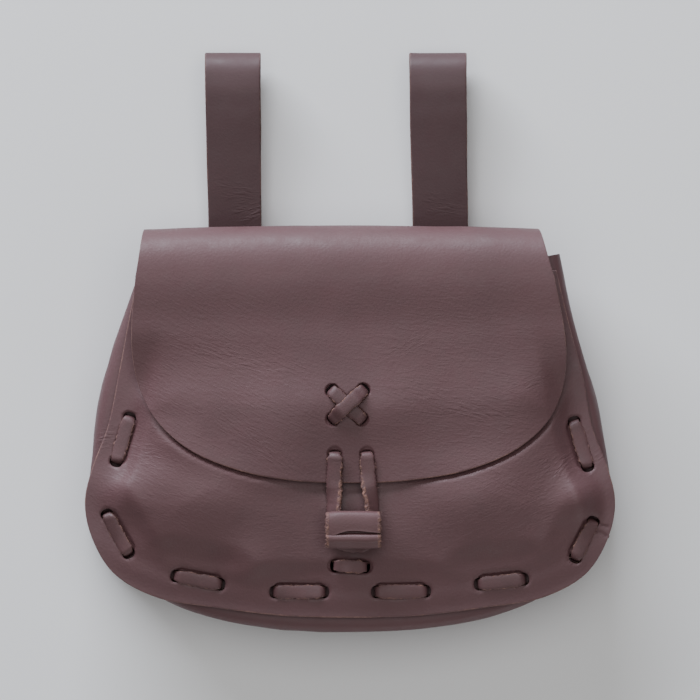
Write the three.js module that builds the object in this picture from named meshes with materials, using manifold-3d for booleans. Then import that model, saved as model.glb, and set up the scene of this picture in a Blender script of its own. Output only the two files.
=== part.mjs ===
// A leather belt pouch with a rounded flap, a gusset, two belt loops and a rolled toggle,
// lying on its back. Millimetres, +X to its right, +Y up towards the belt loops, and +Z out
// of its front. The origin is on the surface that it lies on, under the middle of its outline.
import * as THREE from 'three';
import { mergeVertices } from 'three/addons/utils/BufferGeometryUtils.js';
import Module from 'manifold-3d';

const wasm = await Module();
wasm.setup();

// Driving dimensions
const LEATHER = 2; // thickness of the panels, the gusset and the straps
const LACE_THICK = 1.6;
const LACE_WIDE = 5.5; // the lace of the seams, the straps and the toggle
const CLOSURE_WIDE = 5; // the lace of the closure
const GAP = 0.35; // left between two pieces that lie on each other
const BEND = 1.3; // radius of the middle of a lace where it turns into a hole

const SEAM_Z = 34; // outer face of the front panel at its border
const BACK_Z = 1.62; // outer face of the back at its bottom edge
const BACK_RISE = 0.0455; // how much the back climbs for each millimetre towards the crest
const BOTTOM_Y = -107.6;
const MOUTH_Y = 28; // top edge of the front panel

const CREST_Y = 25.6; // where the fold over the top starts
const CREST_RADIUS = 20; // of its outer face
const CREST_BOW = 1.6; // how far its ends lie below its middle
const CREST = { left: -80.4, right: 73.6 }; // its ends
const FLAP_LIFT = 2.7; // from the front panel to the flap

const SLOT_BACK = 1.9; // how far a lace's hole reaches past the middle of the lace
const SLOT_FRONT = 1.7;
const SLOT_SIDE = 0.65;

// Outlines, from the top to the bottom. Each side is one smooth curve through its rows.
const PANEL_EDGE = [
  { left: -82.5, right: 80.5, y: MOUTH_Y },
  { left: -87, right: 86, y: 5 },
  { left: -90.5, right: 91, y: -14 },
  { left: -94.5, right: 94.5, y: -33 },
  { left: -100.5, right: 100.5, y: -49 },
  { left: -103.4, right: 103.4, y: -62 },
  { left: -101.2, right: 101.2, y: -75 },
  { left: -92.5, right: 92.5, y: -90 },
  { left: -76, right: 76, y: -99.5 },
  { left: -52.3, right: 52.3, y: -103.7 },
  { left: -27, right: 27, y: -106.8 },
  { left: -7, right: 7, y: BOTTOM_Y },
];

const FLAP_EDGE = [
  { left: -83.4, right: 79.4, y: CREST_Y },
  { left: -85, right: 83.2, y: 6 },
  { left: -84.6, right: 84.2, y: -6 },
  { left: -81.6, right: 82.6, y: -19 },
  { left: -74.5, right: 76.5, y: -31.5 },
  { left: -62, right: 64, y: -42.3 },
  { left: -42, right: 44, y: -50.4 },
  { left: -22, right: 22, y: -54 },
  { left: -7, right: 7, y: -55 },
];

const GUSSET_EDGE = [
  { left: -80.5, right: 82, y: 34.5 },
  { left: -86.5, right: 85.6, y: 16 },
  { left: -93.6, right: 91.4, y: -5 },
  { left: -97.8, right: 95.9, y: -22 },
  { left: -100.6, right: 100.2, y: -42 },
  { left: -102.2, right: 102.2, y: -60 },
  { left: -99.8, right: 99.8, y: -75 },
  { left: -90.8, right: 90.8, y: -89.5 },
  { left: -74, right: 74, y: -100.2 },
  { left: -61, right: 60.8, y: -105.8 },
  { left: -44, right: 43.5, y: -110.2 },
  { left: -21.8, right: 21.8, y: -112.9 },
  { left: 0, right: 0, y: -113.6 },
];

// Half of the gusset's section, from its free edge inside the pouch to the middle of its side.
// out is measured from its outline, and down from the panel that it is laced to.
const GUSSET_SECTION = [
  { out: -22.5, down: 0, innerOut: -22.5, innerDown: LEATHER },
  { out: -3.4, down: 0, innerOut: -3.1, innerDown: LEATHER },
  { out: -1.1, down: 1.8, innerOut: -2.7, innerDown: 3 },
];

// The stitches of the seams: the outer ends of the two holes of each.
const STITCHES = [
  { x1: 75.3, y1: 10.1, x2: 80.7, y2: -10.1 },
  { x1: 87.1, y1: -29.8, x2: 93.1, y2: -49.8 },
  { x1: 95.4, y1: -68.8, x2: 87.3, y2: -85.4 },
  { x1: 69.1, y1: -92.4, x2: 49.1, y2: -94.6 },
  { x1: 30.8, y1: -97.2, x2: 9, y2: -97.5 },
  { x1: -8.9, y1: -97.5, x2: -30.7, y2: -97.5 },
  { x1: -49.4, y1: -94.8, x2: -69.3, y2: -91 },
  { x1: -85.8, y1: -83.5, x2: -95.4, y2: -66.1 },
  { x1: -91.6, y1: -47.9, x2: -85.6, y2: -28.2 },
  { x1: -80.7, y1: -10.1, x2: -75.3, y2: 10.1 },
];
const SEAM_TAILS = [{ x: 73.4, y: 20 }, { x: -73.4, y: 20 }]; // where a seam's lace ends inside

// Soft forms of the front panel: bulges between the stitches and hollows at them.
const FRONT_FOLDS = [
  { x: 90, y: -58, reach: 12, height: 2.4 },
  { x: -90, y: -57, reach: 12, height: 2.4 },
  { x: 77, y: -83, reach: 11, height: 2.6 },
  { x: -77, y: -83, reach: 11, height: 2.6 },
  { x: 59, y: -83, reach: 15, height: -2.2 },
  { x: -59, y: -83, reach: 15, height: -2.2 },
  { x: 84, y: -71, reach: 12, height: -1.8 },
  { x: -84, y: -71, reach: 12, height: -1.8 },
];

// Soft forms of the flap: it sinks behind the crest and swells over the front.
const FLAP_FOLDS = [
  { x: -50, y: 10, reach: 24, height: -0.8 },
  { x: 50, y: -10, reach: 28, height: 1 },
  { x: -56, y: -22, reach: 22, height: 0.9 },
  { x: 0, y: 0, reach: 13, height: -0.7 },
];

// The closure's holes in the flap: where the lace passes through it.
const CROSS = {
  upperLeft: { x: -7.2, y: -18.5 },
  upperRight: { x: 5.6, y: -18.5 },
  lowerLeft: { x: -6.9, y: -30.7 },
  lowerRight: { x: 4.2, y: -30.7 },
};
const STRANDS = { left: { x: -5.9, y: -43.6 }, right: { x: 6.6, y: -43.6 } };

// The two strands hang over the edge of the flap and meet behind the toggle.
const STRAND_ROUTE = [
  { x: 7.7, y: -54 },
  { x: 9.3, y: -65 },
  { x: 9, y: -73.5 },
  { x: 6.2, y: -78.1 },
  { x: 1.5, y: -79.2 },
  { x: -3.3, y: -78.1 },
  { x: -6.2, y: -73.5 },
  { x: -6.2, y: -65 },
  { x: -6, y: -54 },
];

// The toggle is a rolled strip. Its free end lies on top, a little below its middle.
const TOGGLE = { x: 1.5, y: -73.9, z: 48.2, long: 23, radius: 9.05, flat: 0.75, turns: 2.6 };
const TOGGLE_WRAP = { thick: 2.1, gap: 0.5, end: 107 };
const ANCHOR = { left: { x: -5.8, y: -87.2 }, right: { x: 5.9, y: -87.6 }, tail: { x: 3, y: -78 } };

// The belt loops: the middle and the width of each strap at its lower end and at its far end.
const LOOPS = [
  { name: 'left', x: -45.1, farX: -46, wide: 20.6, farWide: 21.8 },
  { name: 'right', x: 35.6, farX: 34.5, wide: 21.6, farWide: 22.4 },
];

// The middle of a strap's thickness, from its lower end, round the far end and back.
const LOOP_PROFILE = [
  { y: 4, z: 2.95 },
  { y: 30, z: 2.95 },
  { y: 46, z: 1.9 },
  { y: 60, z: 1.02 },
  { y: 78, z: 1.02 },
  { y: 96, z: 1.02 },
  { y: 104, z: 1.7 },
  { y: 110.6, z: 4.6 },
  { y: 112.6, z: 9.6 },
  { y: 109.3, z: 14.6 },
  { y: 101.5, z: 16.3 },
  { y: 92, z: 15.4 },
  { y: 76, z: 12.7 },
  { y: 60, z: 9.9 },
  { y: 46, z: 7.2 },
  { y: 34, z: 5.5 },
  { y: 24, z: 5.3 },
  { y: 4, z: 5.3 },
];
const LOOP_STITCH = { y: 16, half: 6.4, tail: 7, z: 0.8 };

// Finishes
const leather = new THREE.MeshStandardMaterial({ color: 0x5f4a4c, roughness: 0.55, metalness: 0 });
const strapping = new THREE.MeshStandardMaterial({ color: 0x584648, roughness: 0.5, metalness: 0 });
const lacing = new THREE.MeshStandardMaterial({ color: 0x6b5250, roughness: 0.6, metalness: 0 });

// Small helpers

function mix(a, b, t) {
  return a + (b - a) * t;
}

function smoothstep(from, to, value) {
  const t = Math.min(Math.max((value - from) / (to - from), 0), 1);
  return t * t * (3 - 2 * t);
}

function unit(dx, dy) {
  const length = Math.hypot(dx, dy);
  return { x: dx / length, y: dy / length };
}

function towards(from, to) {
  return unit(to.x - from.x, to.y - from.y);
}

function curveThrough(rows) {
  return new THREE.CatmullRomCurve3(rows.map((row) => new THREE.Vector3(row.x ?? 0, row.y, row.z ?? 0)));
}

function edgePoints(rows, side, count) {
  return curveThrough(rows.map((row) => ({ x: row[side], y: row.y }))).getSpacedPoints(count);
}

function folds(rows, x, y) {
  let height = 0;
  for (const fold of rows) {
    const away = Math.hypot(x - fold.x, y - fold.y) / fold.reach;
    height += fold.height * Math.exp(-away * away);
  }
  return height;
}

// Faces of the panels, as heights over the surface that the pouch lies on

const RIM = [...edgePoints(PANEL_EDGE, 'left', 60), ...edgePoints(PANEL_EDGE, 'right', 60)];

function rimDistance(x, y) {
  let nearest = Infinity;
  for (const point of RIM) {
    nearest = Math.min(nearest, Math.hypot(x - point.x, y - point.y));
  }
  const overFlatEdge = Math.abs(x) < PANEL_EDGE[PANEL_EDGE.length - 1].right;
  return overFlatEdge ? Math.min(nearest, y - BOTTOM_Y) : nearest;
}

function frontSwell(x, y) {
  const crown = mix(4.5, 7.2, smoothstep(MOUTH_Y, -50, y));
  return crown * smoothstep(9, 42, rimDistance(x, y));
}

function frontOuter(x, y) {
  const free = smoothstep(9, 24, rimDistance(x, y));
  return SEAM_Z + Math.max(frontSwell(x, y) + folds(FRONT_FOLDS, x, y) * free, 0);
}

const CREST_Z = BACK_Z + BACK_RISE * (CREST_Y - BOTTOM_Y) + CREST_RADIUS;

function flapOuter(x, y) {
  const hang = SEAM_Z + frontSwell(x, y) + FLAP_LIFT + LEATHER + folds(FLAP_FOLDS, x, y);
  return mix(hang, CREST_Z + CREST_RADIUS, smoothstep(4, CREST_Y, y));
}

// Inner face of the back, which turns up into the crest.
function backInner(y) {
  const flat = BACK_Z + LEATHER + BACK_RISE * (Math.min(y, CREST_Y) - BOTTOM_Y);
  const inside = CREST_RADIUS - LEATHER;
  const around = Math.min(Math.max(y - CREST_Y + CREST_BOW, 0), inside);
  return flat + inside - Math.sqrt(inside * inside - around * around);
}

function backOuter(y) {
  return backInner(y) - LEATHER;
}

// Closed bodies from grids of points

// One closed body, with its faces turned outwards.
function closedGeometry(points, triangles) {
  let volume = 0;
  for (const [a, b, c] of triangles) {
    volume += points[a].dot(new THREE.Vector3().crossVectors(points[b], points[c]));
  }
  const faces = volume < 0 ? triangles.map(([a, b, c]) => [a, c, b]) : triangles;
  const geometry = new THREE.BufferGeometry().setFromPoints(points);
  geometry.setIndex(faces.flat());
  return geometry;
}

function quad(triangles, a, b, c, d) {
  triangles.push([a, b, c], [a, c, d]);
}

// A wall between two grids of the same size, outer[row][column] and inner[row][column].
function wall(outer, inner) {
  const rows = outer.length;
  const columns = outer[0].length;
  const points = [...outer.flat(), ...inner.flat()];
  const triangles = [];
  const at = (side, row, column) => (side * rows + row) * columns + column;
  for (let row = 0; row + 1 < rows; row += 1) {
    for (let column = 0; column + 1 < columns; column += 1) {
      const [here, right] = [at(0, row, column), at(0, row, column + 1)];
      const [below, belowRight] = [at(0, row + 1, column), at(0, row + 1, column + 1)];
      const under = rows * columns;
      quad(triangles, here, right, belowRight, below);
      quad(triangles, below + under, belowRight + under, right + under, here + under);
    }
    const last = columns - 1;
    quad(triangles, at(0, row + 1, 0), at(1, row + 1, 0), at(1, row, 0), at(0, row, 0));
    quad(triangles, at(0, row, last), at(1, row, last), at(1, row + 1, last), at(0, row + 1, last));
  }
  const end = rows - 1;
  for (let column = 0; column + 1 < columns; column += 1) {
    const next = column + 1;
    quad(triangles, at(0, 0, column), at(1, 0, column), at(1, 0, next), at(0, 0, next));
    quad(triangles, at(0, end, next), at(1, end, next), at(1, end, column), at(0, end, column));
  }
  return closedGeometry(points, triangles);
}

// A flat band swept along stations: { at, wide } holds a place and the direction of its width.
// A station with a width of its own has that one.
function band(stations, commonWidth, thick, closed = false) {
  const count = stations.length;
  const points = [];
  stations.forEach(({ at, wide, width = commonWidth }, index) => {
    const before = stations[closed ? (index + count - 1) % count : Math.max(index - 1, 0)].at;
    const after = stations[closed ? (index + 1) % count : Math.min(index + 1, count - 1)].at;
    const along = new THREE.Vector3().subVectors(after, before).normalize();
    const up = new THREE.Vector3().crossVectors(along, wide).normalize();
    const across = new THREE.Vector3().crossVectors(up, along).normalize();
    for (const [side, level] of [[-1, -1], [1, -1], [1, 1], [-1, 1]]) {
      const corner = at.clone().addScaledVector(across, (side * width) / 2);
      points.push(corner.addScaledVector(up, (level * thick) / 2));
    }
  });
  const triangles = [];
  const steps = closed ? count : count - 1;
  for (let step = 0; step < steps; step += 1) {
    const here = step * 4;
    const next = ((step + 1) % count) * 4;
    for (let side = 0; side < 4; side += 1) {
      const turn = (side + 1) % 4;
      quad(triangles, here + side, here + turn, next + turn, next + side);
    }
  }
  if (!closed) {
    const end = (count - 1) * 4;
    quad(triangles, 3, 2, 1, 0);
    quad(triangles, end, end + 1, end + 2, end + 3);
  }
  return closedGeometry(points, triangles);
}

// A lace that runs from hole to hole. runs[k] goes from holes[k] to holes[k + 1] at a height
// level(x, y), by way of its own points, and the lace turns through each hole in between.
// In a hole it keeps the direction of the run that is shown.
function laceStations(holes, runs, closed = false) {
  const stations = [];
  const plans = runs.map((run, index) => {
    const ends = [holes[index], holes[(index + 1) % holes.length]];
    return curveThrough([ends[0], ...(run.via ?? []), ends[1]]);
  });
  let wide = null;
  const widths = plans.map((plan) => {
    const start = plan.getTangentAt(0);
    let first = { x: -start.y, y: start.x };
    if (wide && first.x * wide.x + first.y * wide.y < 0) {
      first = { x: start.y, y: -start.x };
    }
    const sign = first.x * -start.y + first.y * start.x;
    const end = plan.getTangentAt(1);
    wide = { x: -end.y * sign, y: end.x * sign };
    return { sign, first, last: wide };
  });
  const put = (x, y, z, width, slope = 0) => {
    stations.push({ at: new THREE.Vector3(x, y, z), wide: new THREE.Vector3(width.x, width.y, slope) });
  };
  runs.forEach((run, index) => {
    const plan = plans[index];
    const { sign } = widths[index];
    const length = plan.getLength();
    const steps = run.steps ?? 3;
    const from = index === 0 && !closed ? 0 : BEND;
    const to = index === runs.length - 1 && !closed ? length : length - BEND;
    for (let step = 0; step <= steps; step += 1) {
      const share = mix(from, to, step / steps) / length;
      const point = plan.getPointAt(share);
      const tangent = plan.getTangentAt(share);
      const width = { x: -tangent.y * sign, y: tangent.x * sign };
      const [x, y] = [point.x, point.y];
      const rise = run.level(x + width.x, y + width.y) - run.level(x - width.x, y - width.y);
      put(x, y, run.level(x, y), width, rise / 2);
    }
    const next = index + 1 < runs.length ? index + 1 : 0;
    if (next === 0 && !closed) {
      return;
    }
    const hole = holes[(index + 1) % holes.length];
    const inward = plan.getTangentAt(1);
    const onward = plans[next].getTangentAt(0);
    const above = run.level(hole.x, hole.y);
    const below = runs[next].level(hole.x, hole.y);
    const turn = BEND * Math.sign(below - above);
    const start = widths[index].last;
    const flip = start.x * widths[next].first.x + start.y * widths[next].first.y < 0 ? -1 : 1;
    const end = { x: widths[next].first.x * flip, y: widths[next].first.y * flip };
    const held = run.shown ? start : end;
    const short = BEND * (1 - Math.SQRT1_2);
    if (run.shown) {
      put(hole.x - inward.x * short, hole.y - inward.y * short, above + (turn / BEND) * short, start);
    }
    put(hole.x, hole.y, above + turn, held);
    put(hole.x, hole.y, below - turn, held);
    if (runs[next].shown) {
      put(hole.x + onward.x * short, hole.y + onward.y * short, below - (turn / BEND) * short, end);
    }
  });
  return stations;
}

// Cutting holes

function solid(geometry) {
  const vertProperties = new Float32Array(geometry.getAttribute('position').array);
  const triVerts = new Uint32Array(geometry.getIndex().array);
  return new wasm.Manifold(new wasm.Mesh({ numProp: 3, vertProperties, triVerts }));
}

function cut(geometry, tools) {
  let body = solid(geometry);
  for (const tool of tools) {
    body = body.subtract(solid(tool));
  }
  const mesh = body.getMesh();
  const result = new THREE.BufferGeometry();
  result.setAttribute('position', new THREE.BufferAttribute(mesh.vertProperties, 3));
  result.setIndex(new THREE.BufferAttribute(mesh.triVerts, 1));
  return result;
}

// A hole for a lace at `at`, whose visible run leaves it towards `onward`.
function slot(at, onward, wide, low, high) {
  const middle = (SLOT_FRONT - SLOT_BACK) / 2;
  const half = (SLOT_FRONT + SLOT_BACK) / 2;
  const side = wide / 2 + SLOT_SIDE;
  const stations = [low, high].map((z) => ({
    at: new THREE.Vector3(at.x + onward.x * middle, at.y + onward.y * middle, z),
    wide: new THREE.Vector3(-onward.y, onward.x, 0),
  }));
  return band(stations, side * 2, half * 2);
}

// Where a lace passes through its holes, and which way its visible run leaves each
const SEAM_HOLES = STITCHES.flatMap(({ x1, y1, x2, y2 }) => {
  const along = unit(x2 - x1, y2 - y1);
  return [
    { x: x1 + along.x * SLOT_BACK, y: y1 + along.y * SLOT_BACK, onward: along },
    { x: x2 - along.x * SLOT_BACK, y: y2 - along.y * SLOT_BACK, onward: { x: -along.x, y: -along.y } },
  ];
});

const CLOSURE_HOLES = [
  { ...CROSS.lowerLeft, onward: towards(CROSS.lowerLeft, CROSS.upperRight) },
  { ...CROSS.upperRight, onward: towards(CROSS.upperRight, CROSS.lowerLeft) },
  { ...CROSS.upperLeft, onward: towards(CROSS.upperLeft, CROSS.lowerRight) },
  { ...CROSS.lowerRight, onward: towards(CROSS.lowerRight, CROSS.upperLeft) },
  { ...STRANDS.right, onward: { x: 0, y: -1 } },
  { ...STRANDS.left, onward: { x: 0, y: -1 } },
];

const TOGGLE_HOLE = { x: TOGGLE.x, y: TOGGLE.y, onward: { x: 0, y: -1 } };
const ANCHOR_HOLES = [
  { ...ANCHOR.left, onward: { x: 1, y: 0 } },
  { ...ANCHOR.right, onward: { x: -1, y: 0 } },
];

function loopHoles({ x }) {
  return [
    { x: x - LOOP_STITCH.half, y: LOOP_STITCH.y, onward: { x: 1, y: 0 } },
    { x: x + LOOP_STITCH.half, y: LOOP_STITCH.y, onward: { x: -1, y: 0 } },
  ];
}

// Heights of the middle of a lace
const ON_FACE = GAP + LACE_THICK / 2;
const SLACK = 0.35; // more, where the face under the lace is curved
const overFront = (x, y) => frontOuter(x, y) + ON_FACE + SLACK;
const underFlange = () => SEAM_Z - 2 * LEATHER - GAP - ON_FACE;
const underFront = (x, y) => frontOuter(x, y) - LEATHER - ON_FACE - SLACK;
const overFlap = (x, y) => flapOuter(x, y) + ON_FACE;
const underFlap = (x, y) => flapOuter(x, y) - LEATHER - ON_FACE - SLACK;
const outsideBack = (x, y) => backOuter(y) - ON_FACE;
const insideFlange = (x, y) => backInner(y) + GAP + LEATHER + ON_FACE + SLACK;
const insideBack = (x, y) => backInner(y) + ON_FACE;

function overStrands(x, y) {
  return mix(frontOuter(x, y), flapOuter(x, y), smoothstep(-66, -55.6, y)) + ON_FACE;
}

// The upper lace of the cross rises over the lower one.
function overCross(x, y) {
  const { lowerLeft, upperRight } = CROSS;
  const away = Math.hypot(x - (lowerLeft.x + upperRight.x) / 2, y - (lowerLeft.y + upperRight.y) / 2);
  return overFlap(x, y) + (LACE_THICK + GAP + 0.1) * smoothstep(7.6, 3.3, away);
}

const FLOOR_SIDE = -5; // a cut from below starts here
const INSIDE = 22; // a height inside the pouch, between its front and its back
const ABOVE = 70;

// The pieces

function slots(holes, wide, low, high) {
  return holes.map((hole) => slot(hole, hole.onward, wide, low, high));
}

// Rows of points across a panel, from its left edge to its right one.
function acrossRows(leftEdge, rightEdge, columns, place) {
  return leftEdge.map((left, row) => {
    const right = rightEdge[row];
    const line = [];
    for (let column = 0; column <= columns; column += 1) {
      const share = column / columns;
      line.push(place(mix(left.x, right.x, share), mix(left.y, right.y, share)));
    }
    return line;
  });
}

function frontPanel() {
  const [left, right] = [edgePoints(PANEL_EDGE, 'left', 20), edgePoints(PANEL_EDGE, 'right', 20)];
  const face = (depth) => acrossRows(left, right, 18, (x, y) => (
    new THREE.Vector3(x, y, frontOuter(x, y) - depth)));
  const holes = [...SEAM_HOLES, ...ANCHOR_HOLES, TOGGLE_HOLE];
  return cut(wall(face(0), face(LEATHER)), slots(holes, LACE_WIDE, INSIDE, ABOVE));
}

// Rows over the crest, between the back and the flap: angle 0 is its highest line.
function crestRows(depth, columns) {
  const rows = [];
  const steps = 8;
  for (let step = 1; step < steps; step += 1) {
    const angle = Math.PI * (step / steps - 0.5);
    const below = angle < 0 ? PANEL_EDGE[0] : FLAP_EDGE[0];
    const [reach, rise] = [Math.cos(angle), Math.sin(angle)];
    const [left, right] = [mix(below.left, CREST.left, reach), mix(below.right, CREST.right, reach)];
    const line = [];
    for (let column = 0; column <= columns; column += 1) {
      const x = mix(left, right, column / columns);
      const bow = CREST_BOW * (x / CREST.left) ** 2 * reach;
      const radius = CREST_RADIUS - depth;
      line.push(new THREE.Vector3(x, CREST_Y + radius * reach - bow, CREST_Z + radius * rise));
    }
    rows.push(line);
  }
  return rows;
}

function backAndFlap() {
  const columns = 15;
  const backEdge = [{ ...PANEL_EDGE[0], y: CREST_Y }, ...PANEL_EDGE.slice(1)];
  const [left, right] = ['left', 'right'].map((side) => edgePoints(backEdge, side, 13).reverse());
  const [flapLeft, flapRight] = ['left', 'right'].map((side) => edgePoints(FLAP_EDGE, side, 15));
  const face = (depth) => [
    ...acrossRows(left, right, columns, (x, y) => new THREE.Vector3(x, y, backOuter(y) + depth)),
    ...crestRows(depth, columns),
    ...acrossRows(flapLeft, flapRight, columns, (x, y) => new THREE.Vector3(x, y, flapOuter(x, y) - depth)),
  ];
  return cut(wall(face(0), face(LEATHER)), [
    ...slots([...SEAM_HOLES, ...LOOPS.flatMap(loopHoles)], LACE_WIDE, FLOOR_SIDE, INSIDE),
    ...slots(CLOSURE_HOLES, CLOSURE_WIDE, INSIDE, ABOVE),
  ]);
}

function gusset() {
  const outline = curveThrough([
    ...GUSSET_EDGE.map(({ left, y }) => ({ x: left, y })),
    ...GUSSET_EDGE.slice(0, -1).reverse().map(({ right, y }) => ({ x: right, y })),
  ]);
  const steps = 42;
  const outer = [];
  const inner = [];
  for (let step = 0; step <= steps; step += 1) {
    const point = outline.getPointAt(step / steps);
    const tangent = outline.getTangentAt(step / steps);
    const put = (out, height) => {
      const [x, y] = [point.x + tangent.y * out, point.y - tangent.x * out];
      return new THREE.Vector3(x, y, height(y));
    };
    const front = (down) => () => SEAM_Z - LEATHER - GAP - down;
    const back = (up) => (y) => backInner(y) + GAP + up;
    const half = (y) => (front(0)(y) + back(0)(y)) / 2;
    const below = [...GUSSET_SECTION].reverse();
    outer.push([
      ...GUSSET_SECTION.map((row) => put(row.out, front(row.down))),
      put(0, half),
      ...below.map((row) => put(row.out, back(row.down))),
    ]);
    inner.push([
      ...GUSSET_SECTION.map((row) => put(row.innerOut, front(row.innerDown))),
      put(-LEATHER, half),
      ...below.map((row) => put(row.innerOut, back(row.innerDown))),
    ]);
  }
  return cut(wall(outer, inner), slots(SEAM_HOLES, LACE_WIDE, FLOOR_SIDE, ABOVE));
}

// A seam's lace goes in and out of the holes of one panel, and its two ends stay inside.
function seamLace(outside, inside) {
  const holes = [SEAM_TAILS[0], ...SEAM_HOLES, SEAM_TAILS[1]];
  const runs = holes.slice(1).map((hole, index) => (
    index % 2 ? { level: outside, steps: 3, shown: true } : { level: inside, steps: 1 }));
  return band(laceStations(holes, runs), LACE_WIDE, LACE_THICK);
}

// One closed loop: the cross on the flap, then both strands round the back of the toggle.
function closureLace() {
  const holes = [
    CROSS.lowerLeft, CROSS.upperRight, CROSS.upperLeft, CROSS.lowerRight, STRANDS.right, STRANDS.left,
  ];
  const runs = [
    { level: overCross, steps: 8, shown: true },
    { level: underFlap, steps: 2 },
    { level: overFlap, steps: 3, shown: true },
    { level: underFlap, steps: 2 },
    { level: overStrands, steps: 30, via: STRAND_ROUTE, shown: true },
    { level: underFlap, steps: 2 },
  ];
  return band(laceStations(holes, runs, true), CLOSURE_WIDE, LACE_THICK, true);
}

function toggle() {
  const { thick, gap, end } = TOGGLE_WRAP;
  const steps = 46;
  const side = (offset) => {
    const line = [];
    for (let step = 0; step <= steps; step += 1) {
      const turned = (TOGGLE.turns * step) / steps;
      const radius = TOGGLE.radius - offset - (thick + gap) * turned;
      const angle = THREE.MathUtils.degToRad(end) - 2 * Math.PI * turned;
      line.push(new THREE.Vector2(radius * Math.cos(angle), radius * Math.sin(angle) * TOGGLE.flat));
    }
    return line;
  };
  const section = new THREE.Shape([...side(0), ...side(thick).reverse()]);
  const roll = new THREE.ExtrudeGeometry(section, { depth: TOGGLE.long, bevelEnabled: false });
  roll.rotateX(Math.PI / 2);
  roll.rotateZ(Math.PI / 2);
  roll.translate(TOGGLE.x - TOGGLE.long / 2, TOGGLE.y, TOGGLE.z);
  roll.deleteAttribute('normal');
  roll.deleteAttribute('uv');
  return cut(mergeVertices(roll, 1e-4), slots([TOGGLE_HOLE], LACE_WIDE, INSIDE, TOGGLE.z));
}

// From inside the roll through the front panel, out as one short stitch and back in.
function toggleLace() {
  const holes = [TOGGLE_HOLE, ANCHOR.left, ANCHOR.right, ANCHOR.tail];
  const runs = [
    { level: underFront, steps: 5 },
    { level: overFront, steps: 3, shown: true },
    { level: underFront, steps: 3 },
  ];
  const stations = laceStations(holes, runs);
  const across = new THREE.Vector3(1, 0, 0);
  const [top, bottom] = [TOGGLE.z - 1, underFront(TOGGLE.x, TOGGLE.y) + BEND];
  const shank = [top, mix(top, bottom, 0.5), bottom].map((z) => ({
    at: new THREE.Vector3(TOGGLE.x, TOGGLE.y, z),
    wide: across,
  }));
  return band([...shank, ...stations.slice(1)], LACE_WIDE, LACE_THICK);
}

function beltLoop(loop) {
  const profile = curveThrough(LOOP_PROFILE);
  const steps = 32;
  const furthest = LOOP_PROFILE.reduce((reach, row) => Math.max(reach, row.y), 0);
  const stations = [];
  for (let step = 0; step <= steps; step += 1) {
    const at = profile.getPointAt(step / steps);
    const share = smoothstep(CREST_Y, furthest, at.y);
    at.x = mix(loop.x, loop.farX, share);
    at.z = Math.max(at.z, LEATHER / 2);
    stations.push({ at, wide: new THREE.Vector3(1, 0, 0), width: mix(loop.wide, loop.farWide, share) });
  }
  return cut(band(stations, loop.wide, LEATHER), slots(loopHoles(loop), LACE_WIDE, FLOOR_SIDE, INSIDE));
}

// A short staple through both ends of a strap and the back.
function loopLace(loop) {
  const [first, second] = loopHoles(loop);
  const ends = [first.x - LOOP_STITCH.tail, second.x + LOOP_STITCH.tail];
  const [start, end] = ends.map((x) => ({ x, y: LOOP_STITCH.y }));
  const holes = [start, first, second, end];
  const runs = [
    { level: insideBack, steps: 1 },
    { level: () => LOOP_STITCH.z, steps: 1, shown: true },
    { level: insideBack, steps: 1 },
  ];
  return band(laceStations(holes, runs), LACE_WIDE, LACE_THICK);
}

const pouch = new THREE.Group();

function add(name, geometry, material) {
  const mesh = new THREE.Mesh(geometry, material.clone());
  mesh.name = name;
  pouch.add(mesh);
}

add('back_flap', backAndFlap(), leather);
add('front_panel', frontPanel(), leather);
add('gusset', gusset(), leather);
add('front_lace', seamLace(overFront, underFlange), lacing);
add('back_lace', seamLace(outsideBack, insideFlange), lacing);
add('closure_lace', closureLace(), lacing);
add('toggle', toggle(), leather);
add('toggle_lace', toggleLace(), lacing);
for (const loop of LOOPS) {
  add(`belt_loop_${loop.name}`, beltLoop(loop), strapping);
  add(`loop_lace_${loop.name}`, loopLace(loop), lacing);
}

export default pouch;
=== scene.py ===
import math

import bmesh
import bpy
import numpy as np
from bpy.props import FloatProperty, FloatVectorProperty, PointerProperty
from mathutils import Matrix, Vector


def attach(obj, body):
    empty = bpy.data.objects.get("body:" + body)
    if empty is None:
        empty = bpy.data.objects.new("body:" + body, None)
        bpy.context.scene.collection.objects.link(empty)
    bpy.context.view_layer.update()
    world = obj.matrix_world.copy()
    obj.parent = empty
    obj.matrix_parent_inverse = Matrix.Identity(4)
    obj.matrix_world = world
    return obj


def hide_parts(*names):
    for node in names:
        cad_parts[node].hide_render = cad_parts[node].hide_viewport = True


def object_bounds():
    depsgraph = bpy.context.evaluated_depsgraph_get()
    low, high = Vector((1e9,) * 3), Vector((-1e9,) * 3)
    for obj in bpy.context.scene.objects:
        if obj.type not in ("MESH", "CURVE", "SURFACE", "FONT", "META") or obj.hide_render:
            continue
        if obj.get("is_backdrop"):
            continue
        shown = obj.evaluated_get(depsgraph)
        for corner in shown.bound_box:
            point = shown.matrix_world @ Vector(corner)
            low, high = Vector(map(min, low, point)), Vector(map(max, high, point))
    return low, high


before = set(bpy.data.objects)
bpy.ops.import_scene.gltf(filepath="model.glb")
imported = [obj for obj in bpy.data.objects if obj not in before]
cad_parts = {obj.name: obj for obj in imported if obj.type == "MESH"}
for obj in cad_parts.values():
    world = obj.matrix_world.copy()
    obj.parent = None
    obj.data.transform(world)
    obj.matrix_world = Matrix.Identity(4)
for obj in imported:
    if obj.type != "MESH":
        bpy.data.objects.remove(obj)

bl_info = {
    "name": "Laced leather belt pouch",
    "version": (1, 0, 0),
    "blender": (4, 5, 0),
    "location": "View3D > Sidebar > Pouch",
    "description": "Dresses a leather belt pouch: panels, gusset, laces, toggle and belt loops",
    "category": "Add Mesh",
}

# Shapes are worked out in millimetres and made into metres when a mesh is finished.
# +X is the pouch's right, +Y is up towards its belt loops and +Z is out of its front.
MM = 0.001

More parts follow.
